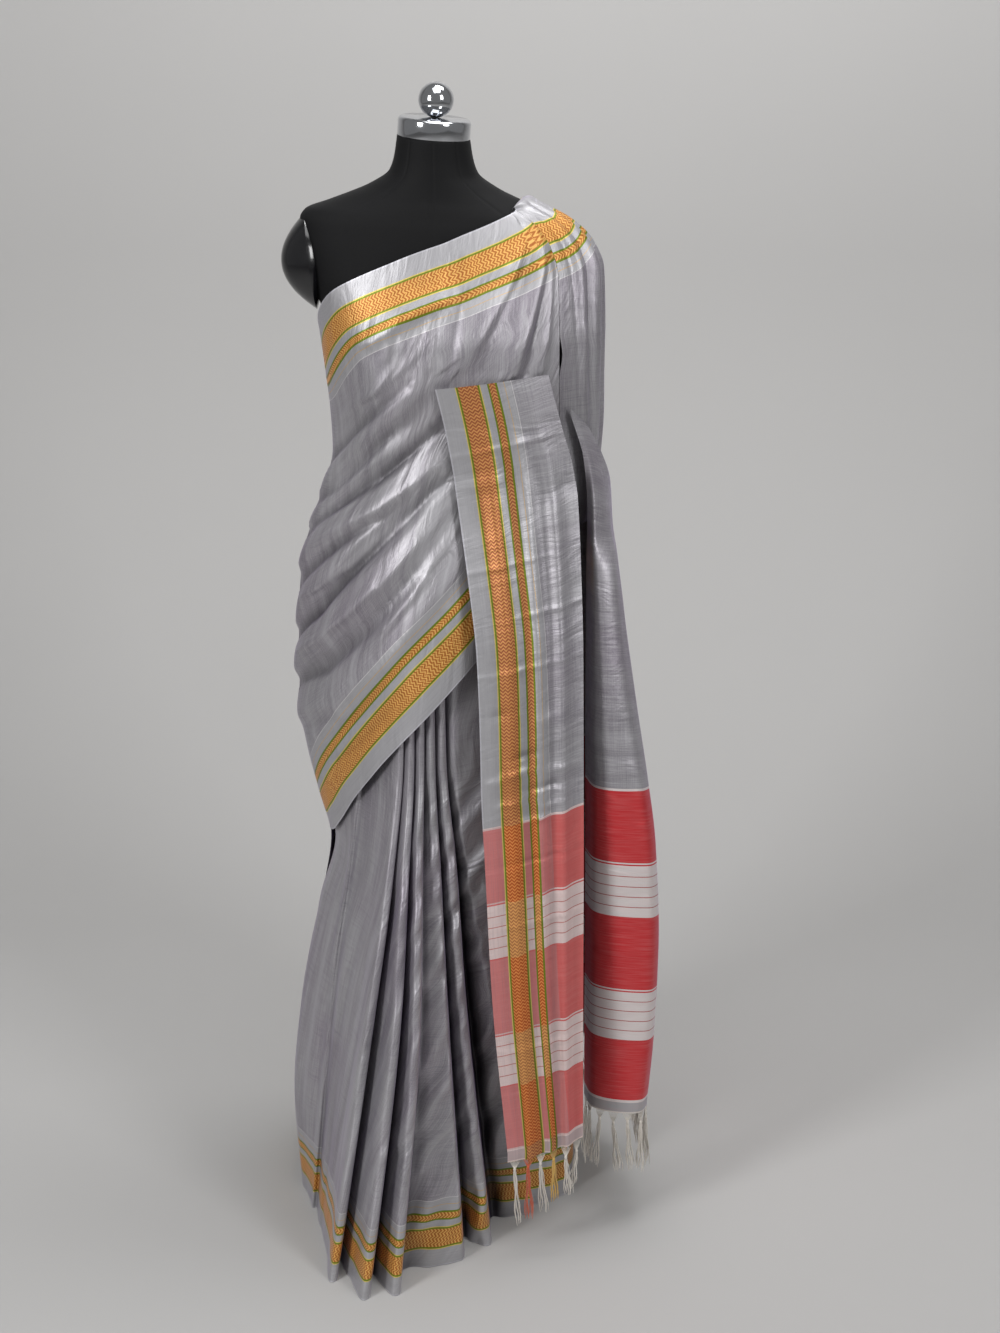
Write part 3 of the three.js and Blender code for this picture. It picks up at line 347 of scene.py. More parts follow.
LEAST_DEPTH = 20    # a fold that is less deep has no valley behind it


def pleat_section(z):
    """Points of the pleated front at one height, from the wearer's right to left."""
    corners = []
    for turn in (-104, -97, -90, -82, -72):
        edge = wrap_edge["low"](turn + 360) if turn < -90 else chest_edge["low"](turn)
        tuck = -7 * smooth(z, edge - 110, edge - 15) - 6.5 * smooth(z, 850, 940)
        corners.append(around(turn, z, out=tuck))
    lead = corners[-1]
    first = np.array([pleat_lines[0][0](z), pleat_lines[0][1](z), z])
    for share, turn in ((0.35, -63), (0.7, -54)):
        straight = lead + (first - lead) * share
        corners.append(straight + (around(turn, z, out=-6) - straight) * smooth(z, 480, 720))
    for i, (x, y, deep) in enumerate(pleat_lines):
        following = pleat_lines[i + 1] if i + 1 < len(pleat_lines) else pleat_end
        ridge = np.array([x(z), y(z), z])
        depth = deep * pleat_depth(z)
        valley = ridge + [0.02 * depth, depth, 0]
        goal = np.array([following[0](z), following[1](z), z])
        r = min(2 + 0.08 * depth, 5)
        corners.append(ridge + [-r, -0.2 * r, 0])
        if deep < LEAST_DEPTH:
            past = ridge + [r, 0, 0]
            corners += [past + (goal - past) * share for share in (0, 0.12, 0.34, 0.64)]
            continue
        corners.append(ridge + [0.7 * r, 0.7 * r, 0])
        corners.append(valley + [0.5 * r, -r, 0])
        corners.append(valley + (goal - valley) * 0.12)
        corners.append(valley + (goal - valley) * 0.5 + [-2, -0.06 * depth, 0])
    corners.append(np.array([pleat_end[0](z), pleat_end[1](z), z]))
    return np.array(corners, float)


def ripples(across, up, seed, count, wide, tall, rise):
    """Long uneven waves: a sum of sines with seeded directions, about wide by tall mm."""
    chance = np.random.default_rng(seed)
    total = np.zeros(np.broadcast(across, up).shape)
    for _ in range(count):
        a, b = chance.uniform(0.6, 1.5) / wide, chance.uniform(-1.2, 1.2) / tall
        total = total + np.sin(2 * math.pi * (a * across + b * up) + chance.uniform(0, 6.28))
    return total * rise / math.sqrt(count)


def pleat_grid():
    levels = np.linspace(HEM, 940, 150)
    grid = np.array([resample(pleat_section(z), 421) for z in levels])
    across, up = lengths(grid, 1), grid[..., 2]
    calm = smooth(900 - up, 0, 300)
    grid[..., 1] += ripples(across, up, 4, 7, 60, 520, 2.6) * calm
    # Short kinks where a pleat has buckled under its own weight
    for x, z, rise in ((-64, 205, 5), (-98, 335, -3), (-16, 150, 4), (12, 262, 3), (-150, 300, 2.5)):
        near = bell(grid[..., 0] - x, 16) * bell(up - z - 0.5 * (grid[..., 0] - x), 9)
        grid[..., 1] -= rise * near
    return grid


def wrap_grid():
    turns = np.concatenate([np.linspace(30, 262, 230), np.linspace(263, 270 - SEAM / 3, 10)])
    turn, z = between(turns, 150, wrap_edge)
    return around(turn, z, out=upright_folds(turn, z) * np.where(turn > 245, 0.4, 1))


def chest_grid():
    turns = np.concatenate([[-90 + SEAM / 3], np.linspace(-89, 47.7, 290)])
    turn, z = between(turns, 250, chest_edge)
    hem_quiet = smooth(np.minimum(z - chest_edge["low"](turn), chest_edge["top"](turn) - z), 0, 60)
    out = 1.35 * slant_folds(CHEST_FOLDS, turn, z, steep=0.62)
    creases = slant_folds(CHEST_CREASES, turn, z, steep=0.7) * (0.25 + 0.75 * hem_quiet)
    out += creases * (1.5 - 0.5 * smooth(z, 1230, 1300))
    return around(turn, z, out=out, right="fall", bulky=True)


fall_edge = curve([1040, 1180, 1265, 1296, 1326, 1500], [49, 47.9, 47.9, 49.2, 47.9, 47.9])
fall_top = curve([47, 70, 90, 102], [1484, 1489, 1490, 1489])
FALL_LOW = 1046
CAP_ROWS = 12


def fall_grid():
    share, rise = np.meshgrid(np.linspace(0, 1, 130), np.linspace(0, 1, 160))
    z = FALL_LOW + (fall_top(47.8 + (FALL_END - 47.8) * share) - FALL_LOW) * rise
    turn = fall_edge(z) + (FALL_END - fall_edge(z)) * share
    settled = smooth(share, 0, 0.15) * smooth(1 - share, 0, 0.2)
    out = slant_folds(FALL_FOLDS, turn, z) * settled + slant_folds(FALL_CREASES, turn, z) * settled
    grid = around(turn, z, right="fall", out=out)
    # The upper rows close over the top of the shoulder, up to the woven edge.
    line = np.array([[108, -54, 1484.5], [114, -36, 1490], [119, -16, 1492.5], [122, 6, 1492.5],
                     [124, 24, 1491], [125, 40, 1488]])
    inner = resample(line, grid.shape[1])
    over = np.linspace(0, 1, CAP_ROWS + 1)[1:, None, None]
    cap_rows = grid[-1] + (inner - grid[-1]) * over
    cap_rows[..., 2] += 3.5 * np.sin(math.pi * over[..., 0])
    return np.concatenate([grid, cap_rows])


panel = columns(PANEL, "z", ["left", "leftY", "right", "rightY"])


def panel_grid():
    across, rise = np.meshgrid(np.linspace(0, 1, 140), np.linspace(0, 1, 470))
    lift = PANEL_DROP * (across - 0.5) * (1 - rise) + 14 * (across - 0.5) * rise
    z = PANEL_BOTTOM + (PANEL_TOP - 7 - PANEL_BOTTOM) * rise + lift
    free = smooth(PANEL_TOP - z, 0, 260)
    out = sum(rise_ * bell(across - at, width) for at, rise_, width in PANEL_FOLDS)
    x = panel["left"](z) + (panel["right"](z) - panel["left"](z)) * across
    y = panel["leftY"](z) + (panel["rightY"](z) - panel["leftY"](z)) * across ** 1.2
    pucker = puckers(across, z)
    return np.stack([x, y - out * free - 6 * np.sin(math.pi * across) - pucker, z], axis=-1)


# Small puckers and ironing creases on the front of the pallu:
# share across, height, how far out, half width across and half height.
PUCKERS = [
    (0.35, 735, 3.0, 0.14, 6), (0.62, 716, -2.6, 0.16, 5), (0.25, 690, 2.0, 0.12, 5),
    (0.5, 668, 2.2, 0.18, 5), (0.78, 742, 2.2, 0.12, 6), (0.42, 760, -2.4, 0.14, 6),
    (0.7, 690, 1.8, 0.14, 5), (0.15, 722, 2.0, 0.1, 6), (0.3, 1020, 1.4, 0.4, 4),
    (0.7, 960, 1.3, 0.4, 4), (0.5, 1180, 1.6, 0.5, 4), (0.4, 880, 1.3, 0.5, 4),
    (0.55, 520, 1.1, 0.5, 4), (0.45, 330, 1.1, 0.5, 5), (0.2, 1130, 1.8, 0.16, 8),
    (0.85, 1120, -2.2, 0.14, 14), (0.75, 1080, 1.8, 0.12, 20), (0.2, 820, -1.6, 0.1, 7),
    (0.66, 812, 1.6, 0.1, 9), (0.5, 610, -1.4, 0.3, 4),
]
PANEL_RIDGES = [(0.9, 0.6, 0.1), (0.1, 0.8, 0.07), (0.44, -0.9, 0.09), (0.68, -0.5, 0.1)]


def puckers(across, z):
    total = sum(h * bell(across - a, w) * bell(z - at - 30 * (across - a), t)
                for a, at, h, w, t in PUCKERS)
    lean = 0.02 * np.sin(z / 90)
    ridges = sum(h * bell(across - at - lean, w) for at, h, w in PANEL_RIDGES)
    return total + ridges * smooth(1262 - z, 0, 160)


side_curves = columns(SIDE, "z", SIDE_KEYS.split()[1:])


def side_section(z, count):
    knot = {n: np.array([side_curves[n + "_x"](z), side_curves[n + "_y"](z), z])
            for n in ("valley", "nose", "outer", "back")}
    full = min(1, np.linalg.norm(knot["outer"] - knot["nose"]) / 45)
    mid_front = (knot["nose"] + knot["outer"]) / 2 + np.array([-4, -10, 0]) * full
    mid_side = (knot["outer"] + knot["back"]) / 2 + [9, 0, 0]
    points = [knot["valley"], knot["nose"], mid_front, knot["outer"], mid_side, knot["back"]]
    dense = resample(points, 401)
    length = np.concatenate([[0], np.cumsum(np.linalg.norm(np.diff(dense, axis=0), axis=1))])
    even = np.linspace(0, length[-1], count)
    return np.stack([np.interp(even, length, dense[:, k]) for k in range(3)], axis=-1)


def side_grid():
    count = 190
    levels = np.linspace(SIDE_BOTTOM, 1222, 240)
    sheet = np.array([side_section(z, count) for z in levels])
    along = np.linspace(0, 1, count)
    rows = np.linspace(0, 1, 230)[:, None]
    low = SIDE_BOTTOM + SIDE_SLANT * (1 - smooth(along, 0.3, 0.6))
    z = low + (side_top(along) - low) * rows
    place = (z - levels[0]) / (levels[-1] - levels[0]) * (len(levels) - 1)
    i = np.clip(place.astype(int), 0, len(levels) - 2)
    f = (place - i)[..., None]
    j = np.broadcast_to(np.arange(count), i.shape)
    grid = sheet[i, j] * (1 - f) + sheet[i + 1, j] * f
    fold = (3.5 * bell(along - 0.45, 0.05) - 3.5 * bell(along - 0.56, 0.05)
            + 3 * bell(along - 0.7, 0.06) - 2.5 * bell(along - 0.83, 0.05))
    grid[..., 0] += fold * smooth(1100 - z, 0, 300)
    return grid


back_inner = columns(BACK, "z", ["x", "y"])


def back_point(across, z):
    below = np.stack([side_curves["back_x"](z), side_curves["back_y"](z) + 2.8 * SEAM, z], axis=-1)
    above = around(FALL_END + 1.2 * SEAM, z, right="fall")
    outer = below + (above - below) * smooth(z, SIDE_MEETS_FALL, SIDE_MEETS_FALL + 50)[..., None]
    inner = np.stack([back_inner["x"](z), back_inner["y"](z), z], axis=-1)
    away = inner - outer
    span = np.linalg.norm(away[..., :2], axis=-1)
    normal = np.stack([away[..., 1], -away[..., 0], 0 * z], axis=-1) / span[..., None]
    bow = BACK_BOW * np.minimum(span / 200, 1) * np.clip(np.sin(math.pi * across), 0, 1) ** 0.8
    free = np.clip((span - 60) / 180, 0, 1)
    out = sum(rise * bell(across - at, width) for at, rise, width in BACK_FOLDS)
    fine = sum(h * bell(across - a - 0.012 * np.sin(z / 130 + a * 9), w) for a, h, w in BACK_CREASES)
    return outer + away * across[..., None] + normal * (bow + (out + fine) * free)[..., None]


def back_grid():
    levels = np.concatenate([np.linspace(172, 1400, 200), np.linspace(1404, 1488, 30)])
    across, z = np.meshgrid(np.linspace(0, 1, 230), levels)
    return back_point(across, z)


# Meshes made from the grids
def lengths(grid, axis):
    step = np.linalg.norm(np.diff(grid, axis=axis), axis=-1)
    zero = np.zeros_like(np.take(step, [0], axis=axis))
    return np.concatenate([zero, np.cumsum(step, axis=axis)], axis=axis)


def edge_distance(grid, line):
    """Distance in metres from each point to a line of points, and how far along it."""
    flat = grid.reshape(-1, 3)
    along = np.concatenate([[0], np.cumsum(np.linalg.norm(np.diff(line, axis=0), axis=1))])
    best = np.full(len(flat), np.inf)
    where = np.zeros(len(flat))
    for start in range(0, len(flat), 20000):
        part = flat[start:start + 20000]
        d = np.linalg.norm(part[:, None] - line[None], axis=2)
        k = d.argmin(axis=1)
        best[start:start + 20000] = d[np.arange(len(part)), k]
        where[start:start + 20000] = along[k]
    return best.reshape(grid.shape[:2]), where.reshape(grid.shape[:2])


def blurred(grid, cells, axis):
    """The mean over a window of grid cells, with the ends held."""
    cells = min(cells, grid.shape[axis] // 2 - 1)
    pad = [(0, 0)] * 3
    pad[axis] = (cells + 1, cells)
    total = np.cumsum(np.pad(grid, pad, mode="edge"), axis=axis)
    size = grid.shape[axis]
    high = np.take(total, np.arange(size) + 2 * cells + 1, axis=axis)
    return (high - np.take(total, np.arange(size), axis=axis)) / (2 * cells + 1)


def hollows(grid, wide, depth):
    """How far each point lies behind its surroundings: 0 in the open, 1 deep in a fold.
    wide is the window in mm and depth what counts as deep."""
    step = [np.median(np.linalg.norm(np.diff(grid, axis=a), axis=-1)) for a in (0, 1)]
    level = grid
    for _ in range(2):
        for axis in (0, 1):
            level = blurred(level, max(1, int(wide / 2 / step[axis])), axis)
    normal = np.cross(np.gradient(level, axis=1), np.gradient(level, axis=0))
    normal /= np.maximum(np.linalg.norm(normal, axis=-1, keepdims=True), 1e-9)
    behind = -np.sum((grid - level) * normal, axis=-1)
    return np.clip(behind / depth, 0, 1)


def sheet_mesh(name, grid, pattern, material, closed=False, upright=True, painted_fold_shade=(40, 9)):
    """A cloth shell from a grid of points in mm. pattern holds, in metres, the distance
    from the woven edge and the distance along the cloth, which place the borders.
    upright says that the width of the cloth runs up the grid, as round the hips."""
    # How deep each point lies in the folds, kept as an attribute that drives the painted shade of the
    # silk.
    sunk = hollows(grid, *painted_fold_shade)
    grid = grid * MM
    rows, cols = grid.shape[:2]
    mesh = bpy.data.meshes.new(name)
    index = np.arange(rows * cols).reshape(rows, cols)
    right = np.roll(index, -1, axis=1) if closed else index[:, 1:]
    left = index if closed else index[:, :-1]
    quads = np.stack([left[:-1], right[:-1], right[1:], left[1:]], axis=-1).reshape(-1, 4)
    mesh.from_pydata(grid.reshape(-1, 3).tolist(), [], quads.tolist())
    first, second = (0, 1) if upright else (1, 0)
    thread = np.stack([lengths(grid, first), lengths(grid, second)], axis=-1).reshape(-1, 2)
    bands = np.stack(pattern, axis=-1).reshape(-1, 2)
    corner = quads.reshape(-1)
    for label, data in (("bands", bands), ("thread", thread)):
        layer = mesh.uv_layers.new(name=label)
        layer.data.foreach_set("uv", data[corner].astype(np.float32).reshape(-1))
    painted_shade = mesh.attributes.new(name="painted_fold_shade", type="FLOAT", domain="POINT")
    painted_shade.data.foreach_set("value", sunk.astype(np.float32).reshape(-1))
    mesh.polygons.foreach_set("use_smooth", [True] * len(mesh.polygons))
    mesh.materials.append(material)
    mesh.update()
    piece = bpy.data.objects.new(name, mesh)
    bpy.context.collection.objects.link(piece)
    return piece


def two_edges(grid, low, top):
    """Border coordinates for cloth that shows both of its woven edges."""
    near_low, along_low = edge_distance(grid, low)
    near_top, along_top = edge_distance(grid, top)
    lower = near_low < near_top
    u = np.where(lower, near_low, CLOTH_WIDTH / MM - near_top)
    v = np.where(lower, along_low, along_top)
    return u * MM, v * MM


# Materials
def linear(hex_colour, alpha=1.0):
    """An sRGB hex colour as linear light."""
    value = [int(hex_colour[i:i + 2], 16) / 255 for i in (1, 3, 5)]
    return [c / 12.92 if c <= 0.04045 else ((c + 0.055) / 1.055) ** 2.4 for c in value] + [alpha]


def fill(tree, node, links):
    """Links or sets a node's inputs: in order or, from a dict, by name or number."""
    named = links if isinstance(links, dict) else dict(enumerate(links))
    for key, value in named.items():
        if isinstance(value, bpy.types.NodeSocket):
            tree.links.new(value, node.inputs[key])
        else:
            node.inputs[key].default_value = value


def add(tree, kind, links=(), out=0, **settings):
    """Adds one node with its settings and links, and gives back one of its outputs."""
    node = tree.nodes.new("ShaderNode" + kind)
    for key, value in settings.items():
        setattr(node, key, value)
    fill(tree, node, links)
    return node.outputs[out]


def new_material(name):
    """A material with one layered surface, whose inputs are still to be filled."""
    material = bpy.data.materials.new(name)
    material.use_nodes = True
    tree = material.node_tree
    tree.nodes.clear()
    surface = tree.nodes.new("ShaderNodeBsdfPrincipled")
    output = tree.nodes.new("ShaderNodeOutputMaterial")
    tree.links.new(surface.outputs[0], output.inputs[0])
    return material, tree, surface


# Where a Mix node takes its share and its two colours, and where it gives the result
SHARE, FIRST, SECOND, MIXED = 0, 6, 7, 2


def layered(tree, colour, *tones):
    """Lays tones over a colour one after another, each by its own share: dyed colour, and painted
    sheen and shade too.
    """
    for share, tone in tones:
        tone = linear(tone) if isinstance(tone, str) else tone
        colour = add(tree, "Mix", {SHARE: share, FIRST: colour, SECOND: tone}, MIXED, data_type="RGBA")
    return colour


def woven_bands(tree, at, span, stops):
    """A colour that changes in steps along a distance in metres."""
    share = add(tree, "Math", (at, span), operation="DIVIDE")
    colour = add(tree, "ValToRGB", (share,))
    ramp = colour.node.color_ramp
    ramp.interpolation = "CONSTANT"
    for i, (start, tone) in enumerate(stops):
        element = ramp.elements[i] if i < 2 else ramp.elements.new(start / span)
        element.position = start / span
        element.color = linear(tone)
    return colour


# Woven bands: the distance in metres from the woven edge where each colour starts.
GREEN, PALE, GOLD = "#6f7d1d", "#cfba68", "#c67f28"
EDGE_GREY, BODY_GREY, BODY_VIOLET = "#a9a8ab", "#9a999c", "#867c89"
BORDER = [
    (0, "#bbbac0"), (0.0015, EDGE_GREY), (0.0260, PALE), (0.0272, GREEN), (0.0296, GOLD),
    (0.0560, GREEN), (0.0584, PALE), (0.0596, EDGE_GREY), (0.0690, GREEN), (0.0716, GOLD),
    (0.0800, GREEN), (0.0826, EDGE_GREY), (0.0915, "#c3a67c"), (0.0927, EDGE_GREY),
    (0.1015, "#c8c5c6"), (0.1027, BODY_GREY),
]
BORDER_WIDTH = 0.1027
BORDER_SPAN = 0.12      # the ramps of the border cover this much cloth
# Masks: white where the border holds metal thread, and where it is not plain cloth
METAL_BANDS = [
    (0, "#000000"), (0.0296, "#ffffff"), (0.0560, "#000000"), (0.0716, "#ffffff"),
    (0.0800, "#000000"),
]
COLOURED_BANDS = [
    (0, "#000000"), (0.0260, "#ffffff"), (0.0596, "#000000"), (0.0690, "#ffffff"),
    (0.0826, "#000000"),
]
# Cross bands of the pallu, by the distance in metres from its end
RED, WHITE, LINE = "#c8363a", "#dcd4d3", "#ad615c"
PALLU_END = [
    (0, "#dcd7d1"), (0.0015, EDGE_GREY), (0.0165, WHITE), (0.0180, RED), (0.0195, WHITE),
    (0.0210, RED), (0.1160, WHITE), (0.1176, RED), (0.1192, WHITE), (0.1965, RED), (0.1980, WHITE),
    (0.1996, RED), (0.3110, WHITE), (0.3126, RED), (0.3142, WHITE), (0.3930, RED), (0.3945, WHITE),
    (0.3961, RED), (0.5040, WHITE), (0.5056, RED), (0.5072, WHITE), (0.5088, BODY_GREY),
]
PALLU_LENGTH = 0.5088
PALLU_SPAN = 0.56       # the ramps of the pallu cover this much cloth
# Where the border's own warp is paler, it turns the red to a dusty rose.
RED_PLACES = [
    (0, "#000000"), (0.0195, "#ffffff"), (0.1176, "#000000"), (0.1980, "#ffffff"),
    (0.3126, "#000000"), (0.3945, "#ffffff"), (0.5056, "#000000"),
]
# Colour of the metal thread over each cross band
PALLU_METAL = [
    (0, "#a96a45"), (0.0210, "#d2600f"), (0.1176, "#d3985a"), (0.1980, "#d2600f"),
    (0.3126, "#d3985a"), (0.3945, "#d2600f"), (0.5056, "#ae6c40"),
]


CHEVRON = 0.0050          # metres from one chevron of the metal thread to the next
CHEVRON_WIDE = 0.0038     # metres from its valley to its peak
# Fine lines in the pale cross bands: where they begin and end, and where they are counted from
FINE_LINES = ((0.125, 0.192, 0.1192), (0.320, 0.388, 0.3142))
FINE_EVERY, FINE_WIDE = 0.0156, 0.0013


def pallu_end(tree, v, pale, in_border, painted_sheen):
    """The cross bands at the end of the pallu, by the distance v from its end."""
    end = woven_bands(tree, v, PALLU_SPAN, PALLU_END)
    for low, high, start in FINE_LINES:
        past = add(tree, "Math", (v, start), operation="SUBTRACT")
        along = add(tree, "Math", (past, FINE_EVERY), operation="MODULO")
        thin = add(tree, "Math", (along, FINE_WIDE), operation="LESS_THAN")
        above = add(tree, "Math", (v, low), operation="GREATER_THAN")
        below = add(tree, "Math", (v, high), operation="LESS_THAN")
        inside = add(tree, "Math", (above, below), operation="MULTIPLY")
        lined = add(tree, "Math", (thin, inside), operation="MULTIPLY")
        end = layered(tree, end, (lined, LINE))
    worn = add(tree, "Math", (pale, 0.35), operation="MULTIPLY")
    places = woven_bands(tree, v, PALLU_SPAN, RED_PLACES)
    red_border = add(tree, "Math", (places, in_border), operation="MULTIPLY")
    rose = add(tree, "Math", (red_border, 0.42), operation="MULTIPLY")
    # The last share pales every band towards a pinkish white: painted sheen for the lit front panel.
    return layered(tree, end, (worn, "#e3a9a6"), (rose, "#bd8a8c"), (painted_sheen, "#dfa8a0"))


def silk_material(name, pallu=False, painted_sheen=0.0, crumpled=0.5, painted_streaks=0.6):
    """Shot silk with woven borders: a satin sheen over a fine plain weave, grey one way
    of the thread and violet the other, with flat metal thread in the bands."""
    material, tree, surface = new_material(name)
    thread = add(tree, "UVMap", uv_map="thread")
    u = add(tree, "SeparateXYZ", (add(tree, "UVMap", uv_map="bands"),))
    v = u.node.outputs[1]
    other_edge = add(tree, "Math", (CLOTH_WIDTH, u), operation="SUBTRACT")
    edge = add(tree, "Math", (u, other_edge), operation="MINIMUM")
    border = woven_bands(tree, edge, BORDER_SPAN, BORDER)
    in_border = add(tree, "Math", (edge, BORDER_WIDTH), operation="LESS_THAN")
    metal = woven_bands(tree, edge, BORDER_SPAN, METAL_BANDS)
    coloured = woven_bands(tree, edge, BORDER_SPAN, COLOURED_BANDS)
    plain = add(tree, "Math", (1.0, coloured), operation="SUBTRACT")

    # Slubs in the weft and warp. The real ones are 0.3 mm thick, drawn 1.5 mm to show.
    weft = add(tree, "Mapping", {"Vector": thread, "Scale": (20, 640, 1)})
    slub = add(tree, "TexNoise", {"Vector": weft, "Scale": 1.0, "Detail": 4.0})
    warp = add(tree, "Mapping", {"Vector": thread, "Scale": (700, 16, 1)})
    line = add(tree, "TexNoise", {"Vector": warp, "Scale": 1.0, "Detail": 4.0})
    grain = add(tree, "TexNoise", {"Vector": thread, "Scale": 480.0, "Detail": 1.0})
    # Slow drifts of the shot colour, and long soft streaks across the cloth, 24 mm apart, of painted
    # highlight and painted shade
    drift = add(tree, "TexNoise", {"Vector": thread, "Scale": 4.0, "Detail": 3.0})
    long = add(tree, "Mapping", {"Vector": thread, "Scale": (2.5, 42, 1)})
    shading_streak = add(tree, "TexNoise", {"Vector": long, "Scale": 1.0, "Detail": 3.0})
    # The lit and dim tones are painted highlight and painted shade along the streaks; the others are
    # the cloth's own colour.
    tones = (
        ("violet", drift, 0.35, 0.65, 0.8, BODY_VIOLET), ("pale", slub, 0.42, 0.72, 0.5, "#c6c5c7"),
        ("dark", line, 0.45, 0.75, 0.5, "#6a6470"), ("lit", shading_streak, 0.5, 0.75, painted_streaks, "#b9b8bc"),
        ("dim", shading_streak, 0.5, 0.25, painted_streaks, "#6d6772"), ("specks", grain, 0.3, 0.7, 0.3, "#adabae"),
    )
    share = {}
    dyes_and_painted_light = []
    for tone, mask, low, high, most, colour in tones:
        share[tone] = add(tree, "MapRange", (mask, low, high, 0.0, most))
        dyes_and_painted_light.append((share[tone], colour))
    body = layered(tree, linear(BODY_GREY), *dyes_and_painted_light)

    if pallu:
        end = pallu_end(tree, v, share["pale"], in_border, painted_sheen)
        in_end = add(tree, "Math", (v, PALLU_LENGTH), operation="LESS_THAN")
        body = layered(tree, body, (in_end, end))
        plain_end = add(tree, "Math", (in_end, plain), operation="MULTIPLY")
        metal_tone = woven_bands(tree, v, PALLU_SPAN, PALLU_METAL)
        border = layered(tree, border, (plain_end, end), (metal, metal_tone))
    worn = add(tree, "Math", (plain, 0.45), operation="MULTIPLY")
    worn_thread = add(tree, "Math", (worn, share["dark"]), operation="MULTIPLY")
    border = layered(tree, border, (worn_thread, "#77727d"))
    colour = layered(tree, body, (in_border, border))

    # Chevrons of the metal thread: bright where it lies on top, red-brown between
    zig = add(tree, "Math", (u, CHEVRON_WIDE), operation="PINGPONG")
    shifted = add(tree, "Math", (v, zig), operation="ADD")
    phase = add(tree, "Math", (shifted, 2 * math.pi / CHEVRON), operation="MULTIPLY")
    wave = add(tree, "Math", (phase,), operation="SINE")
    chevron = add(tree, "Math", (wave, 0.5, 0.5), operation="MULTIPLY_ADD")
    raised = add(tree, "Math", (chevron, metal), operation="MULTIPLY")
    bright = add(tree, "Math", (raised, 0.62), operation="MULTIPLY")
    colour = layered(tree, colour, (bright, "#dfa45f" if pallu else "#e9c275"))
    between_threads = add(tree, "Math", (1.0, chevron), operation="SUBTRACT")
    behind = add(tree, "Math", (metal, between_threads), operation="MULTIPLY")
    red_brown = add(tree, "Math", (behind, 0.62), operation="MULTIPLY")
    colour = layered(tree, colour, (red_brown, "#7a2f17"))

    # Painted shade: deep in the folds the colour is multiplied towards a dark violet, by how far the
    # point lies behind its surroundings.
    sunk = add(tree, "Attribute", out="Fac", attribute_name="painted_fold_shade")
    painted_shade = add(tree, "Math", (sunk, 0.92), operation="MULTIPLY")
    painted_violet_shade = {SHARE: painted_shade, FIRST: colour, SECOND: linear("#28202f")}
    colour = add(tree, "Mix", painted_violet_shade, MIXED, data_type="RGBA", blend_type="MULTIPLY")

    # Relief: the soft crumple of worn silk, 45 to 125 mm across, the weave and the metal thread
    coarse = add(tree, "Mapping", {"Vector": thread, "Scale": (8, 22, 1)})
    crumple = add(tree, "TexNoise", {"Vector": coarse, "Scale": 1.0, "Detail": 4.0,
                                     "Roughness": 0.52, "Distortion": 0.8})
    soft = add(tree, "Bump", {"Strength": crumpled, "Distance": 0.0080, "Height": crumple})
    threads = add(tree, "Math", (slub, line), operation="ADD")
    weave = add(tree, "Math", (threads, 0.7), operation="MULTIPLY")
    relief = add(tree, "Math", (raised, 0.8, weave), operation="MULTIPLY_ADD")
    bump = add(tree, "Bump", {"Strength": 0.28, "Distance": 0.0008, "Height": relief, "Normal": soft})
    fill(tree, surface, {
        "Base Color": colour, "Normal": bump,
        "Roughness": add(tree, "Math", (slub, 0.20, 0.37), operation="MULTIPLY_ADD"),
        "Metallic": add(tree, "Math", (metal, -0.15, 0.55), operation="MULTIPLY_ADD"),
        "Specular IOR Level": 0.5, "Sheen Weight": 0.4, "Sheen Roughness": 0.32,
        "Sheen Tint": linear("#8d77a6"),
    })
    return material


def form_material():
    """Black knitted cover of the dress form: dull, with a faint nap."""
    material, tree, surface = new_material("black form cover")
    place = add(tree, "TexCoord", out="Object")
    nap = add(tree, "TexNoise", {"Vector": place, "Scale": 900.0, "Detail": 2.0})
    wide = add(tree, "TexNoise", {"Vector": place, "Scale": 9.0, "Detail": 2.0})
    fill(tree, surface, {
        "Base Color": layered(tree, linear("#070708"), (wide, "#0d0d0f")),
        "Roughness": add(tree, "Math", (nap, 0.15, 0.62), operation="MULTIPLY_ADD"),
        "Normal": add(tree, "Bump", {"Strength": 0.25, "Distance": 0.0005, "Height": nap}),
        "Sheen Weight": 0.02, "Sheen Roughness": 0.5, "Specular IOR Level": 0.18,
    })
    return material


def gloss_material():
    """Glossy black moulded plate with faint wipe marks."""
    material, tree, surface = new_material("glossy black plastic")
    place = add(tree, "TexCoord", out="Object")
    marks = add(tree, "TexNoise", {"Vector": place, "Scale": 40.0, "Detail": 4.0})
    fill(tree, surface, {
        "Base Color": layered(tree, linear("#08080a"), (marks, "#121215")),
        "Roughness": add(tree, "Math", (marks, 0.18, 0.12), operation="MULTIPLY_ADD"),
        "Coat Weight": 0.5, "Coat Roughness": 0.08,
    })
    return material


def steel_material(name, low, high, rough, spread):
    """Polished or painted steel with fine scratches in its gloss."""
    material, tree, surface = new_material(name)
    place = add(tree, "TexCoord", out="Object")
    marks = add(tree, "TexNoise", {"Vector": place, "Scale": 60.0, "Detail": 5.0})
    fill(tree, surface, {
        "Base Color": layered(tree, linear(low), (marks, high)),
        "Roughness": add(tree, "Math", (marks, spread, rough), operation="MULTIPLY_ADD"),
        "Metallic": 1.0,
    })
    return material


def thread_material(name, low, high):
    """Soft twisted silk thread of the tassels, dull with a little bloom."""
    material, tree, surface = new_material(name)
    place = add(tree, "TexCoord", out="Object")
    twist = add(tree, "TexNoise", {"Vector": place, "Scale": 700.0, "Detail": 2.0})
    fill(tree, surface, {
        "Base Color": layered(tree, linear(low), (twist, high)),
        "Roughness": add(tree, "Math", (twist, 0.2, 0.55), operation="MULTIPLY_ADD"),
        "Sheen Weight": 0.4,
    })
    return material


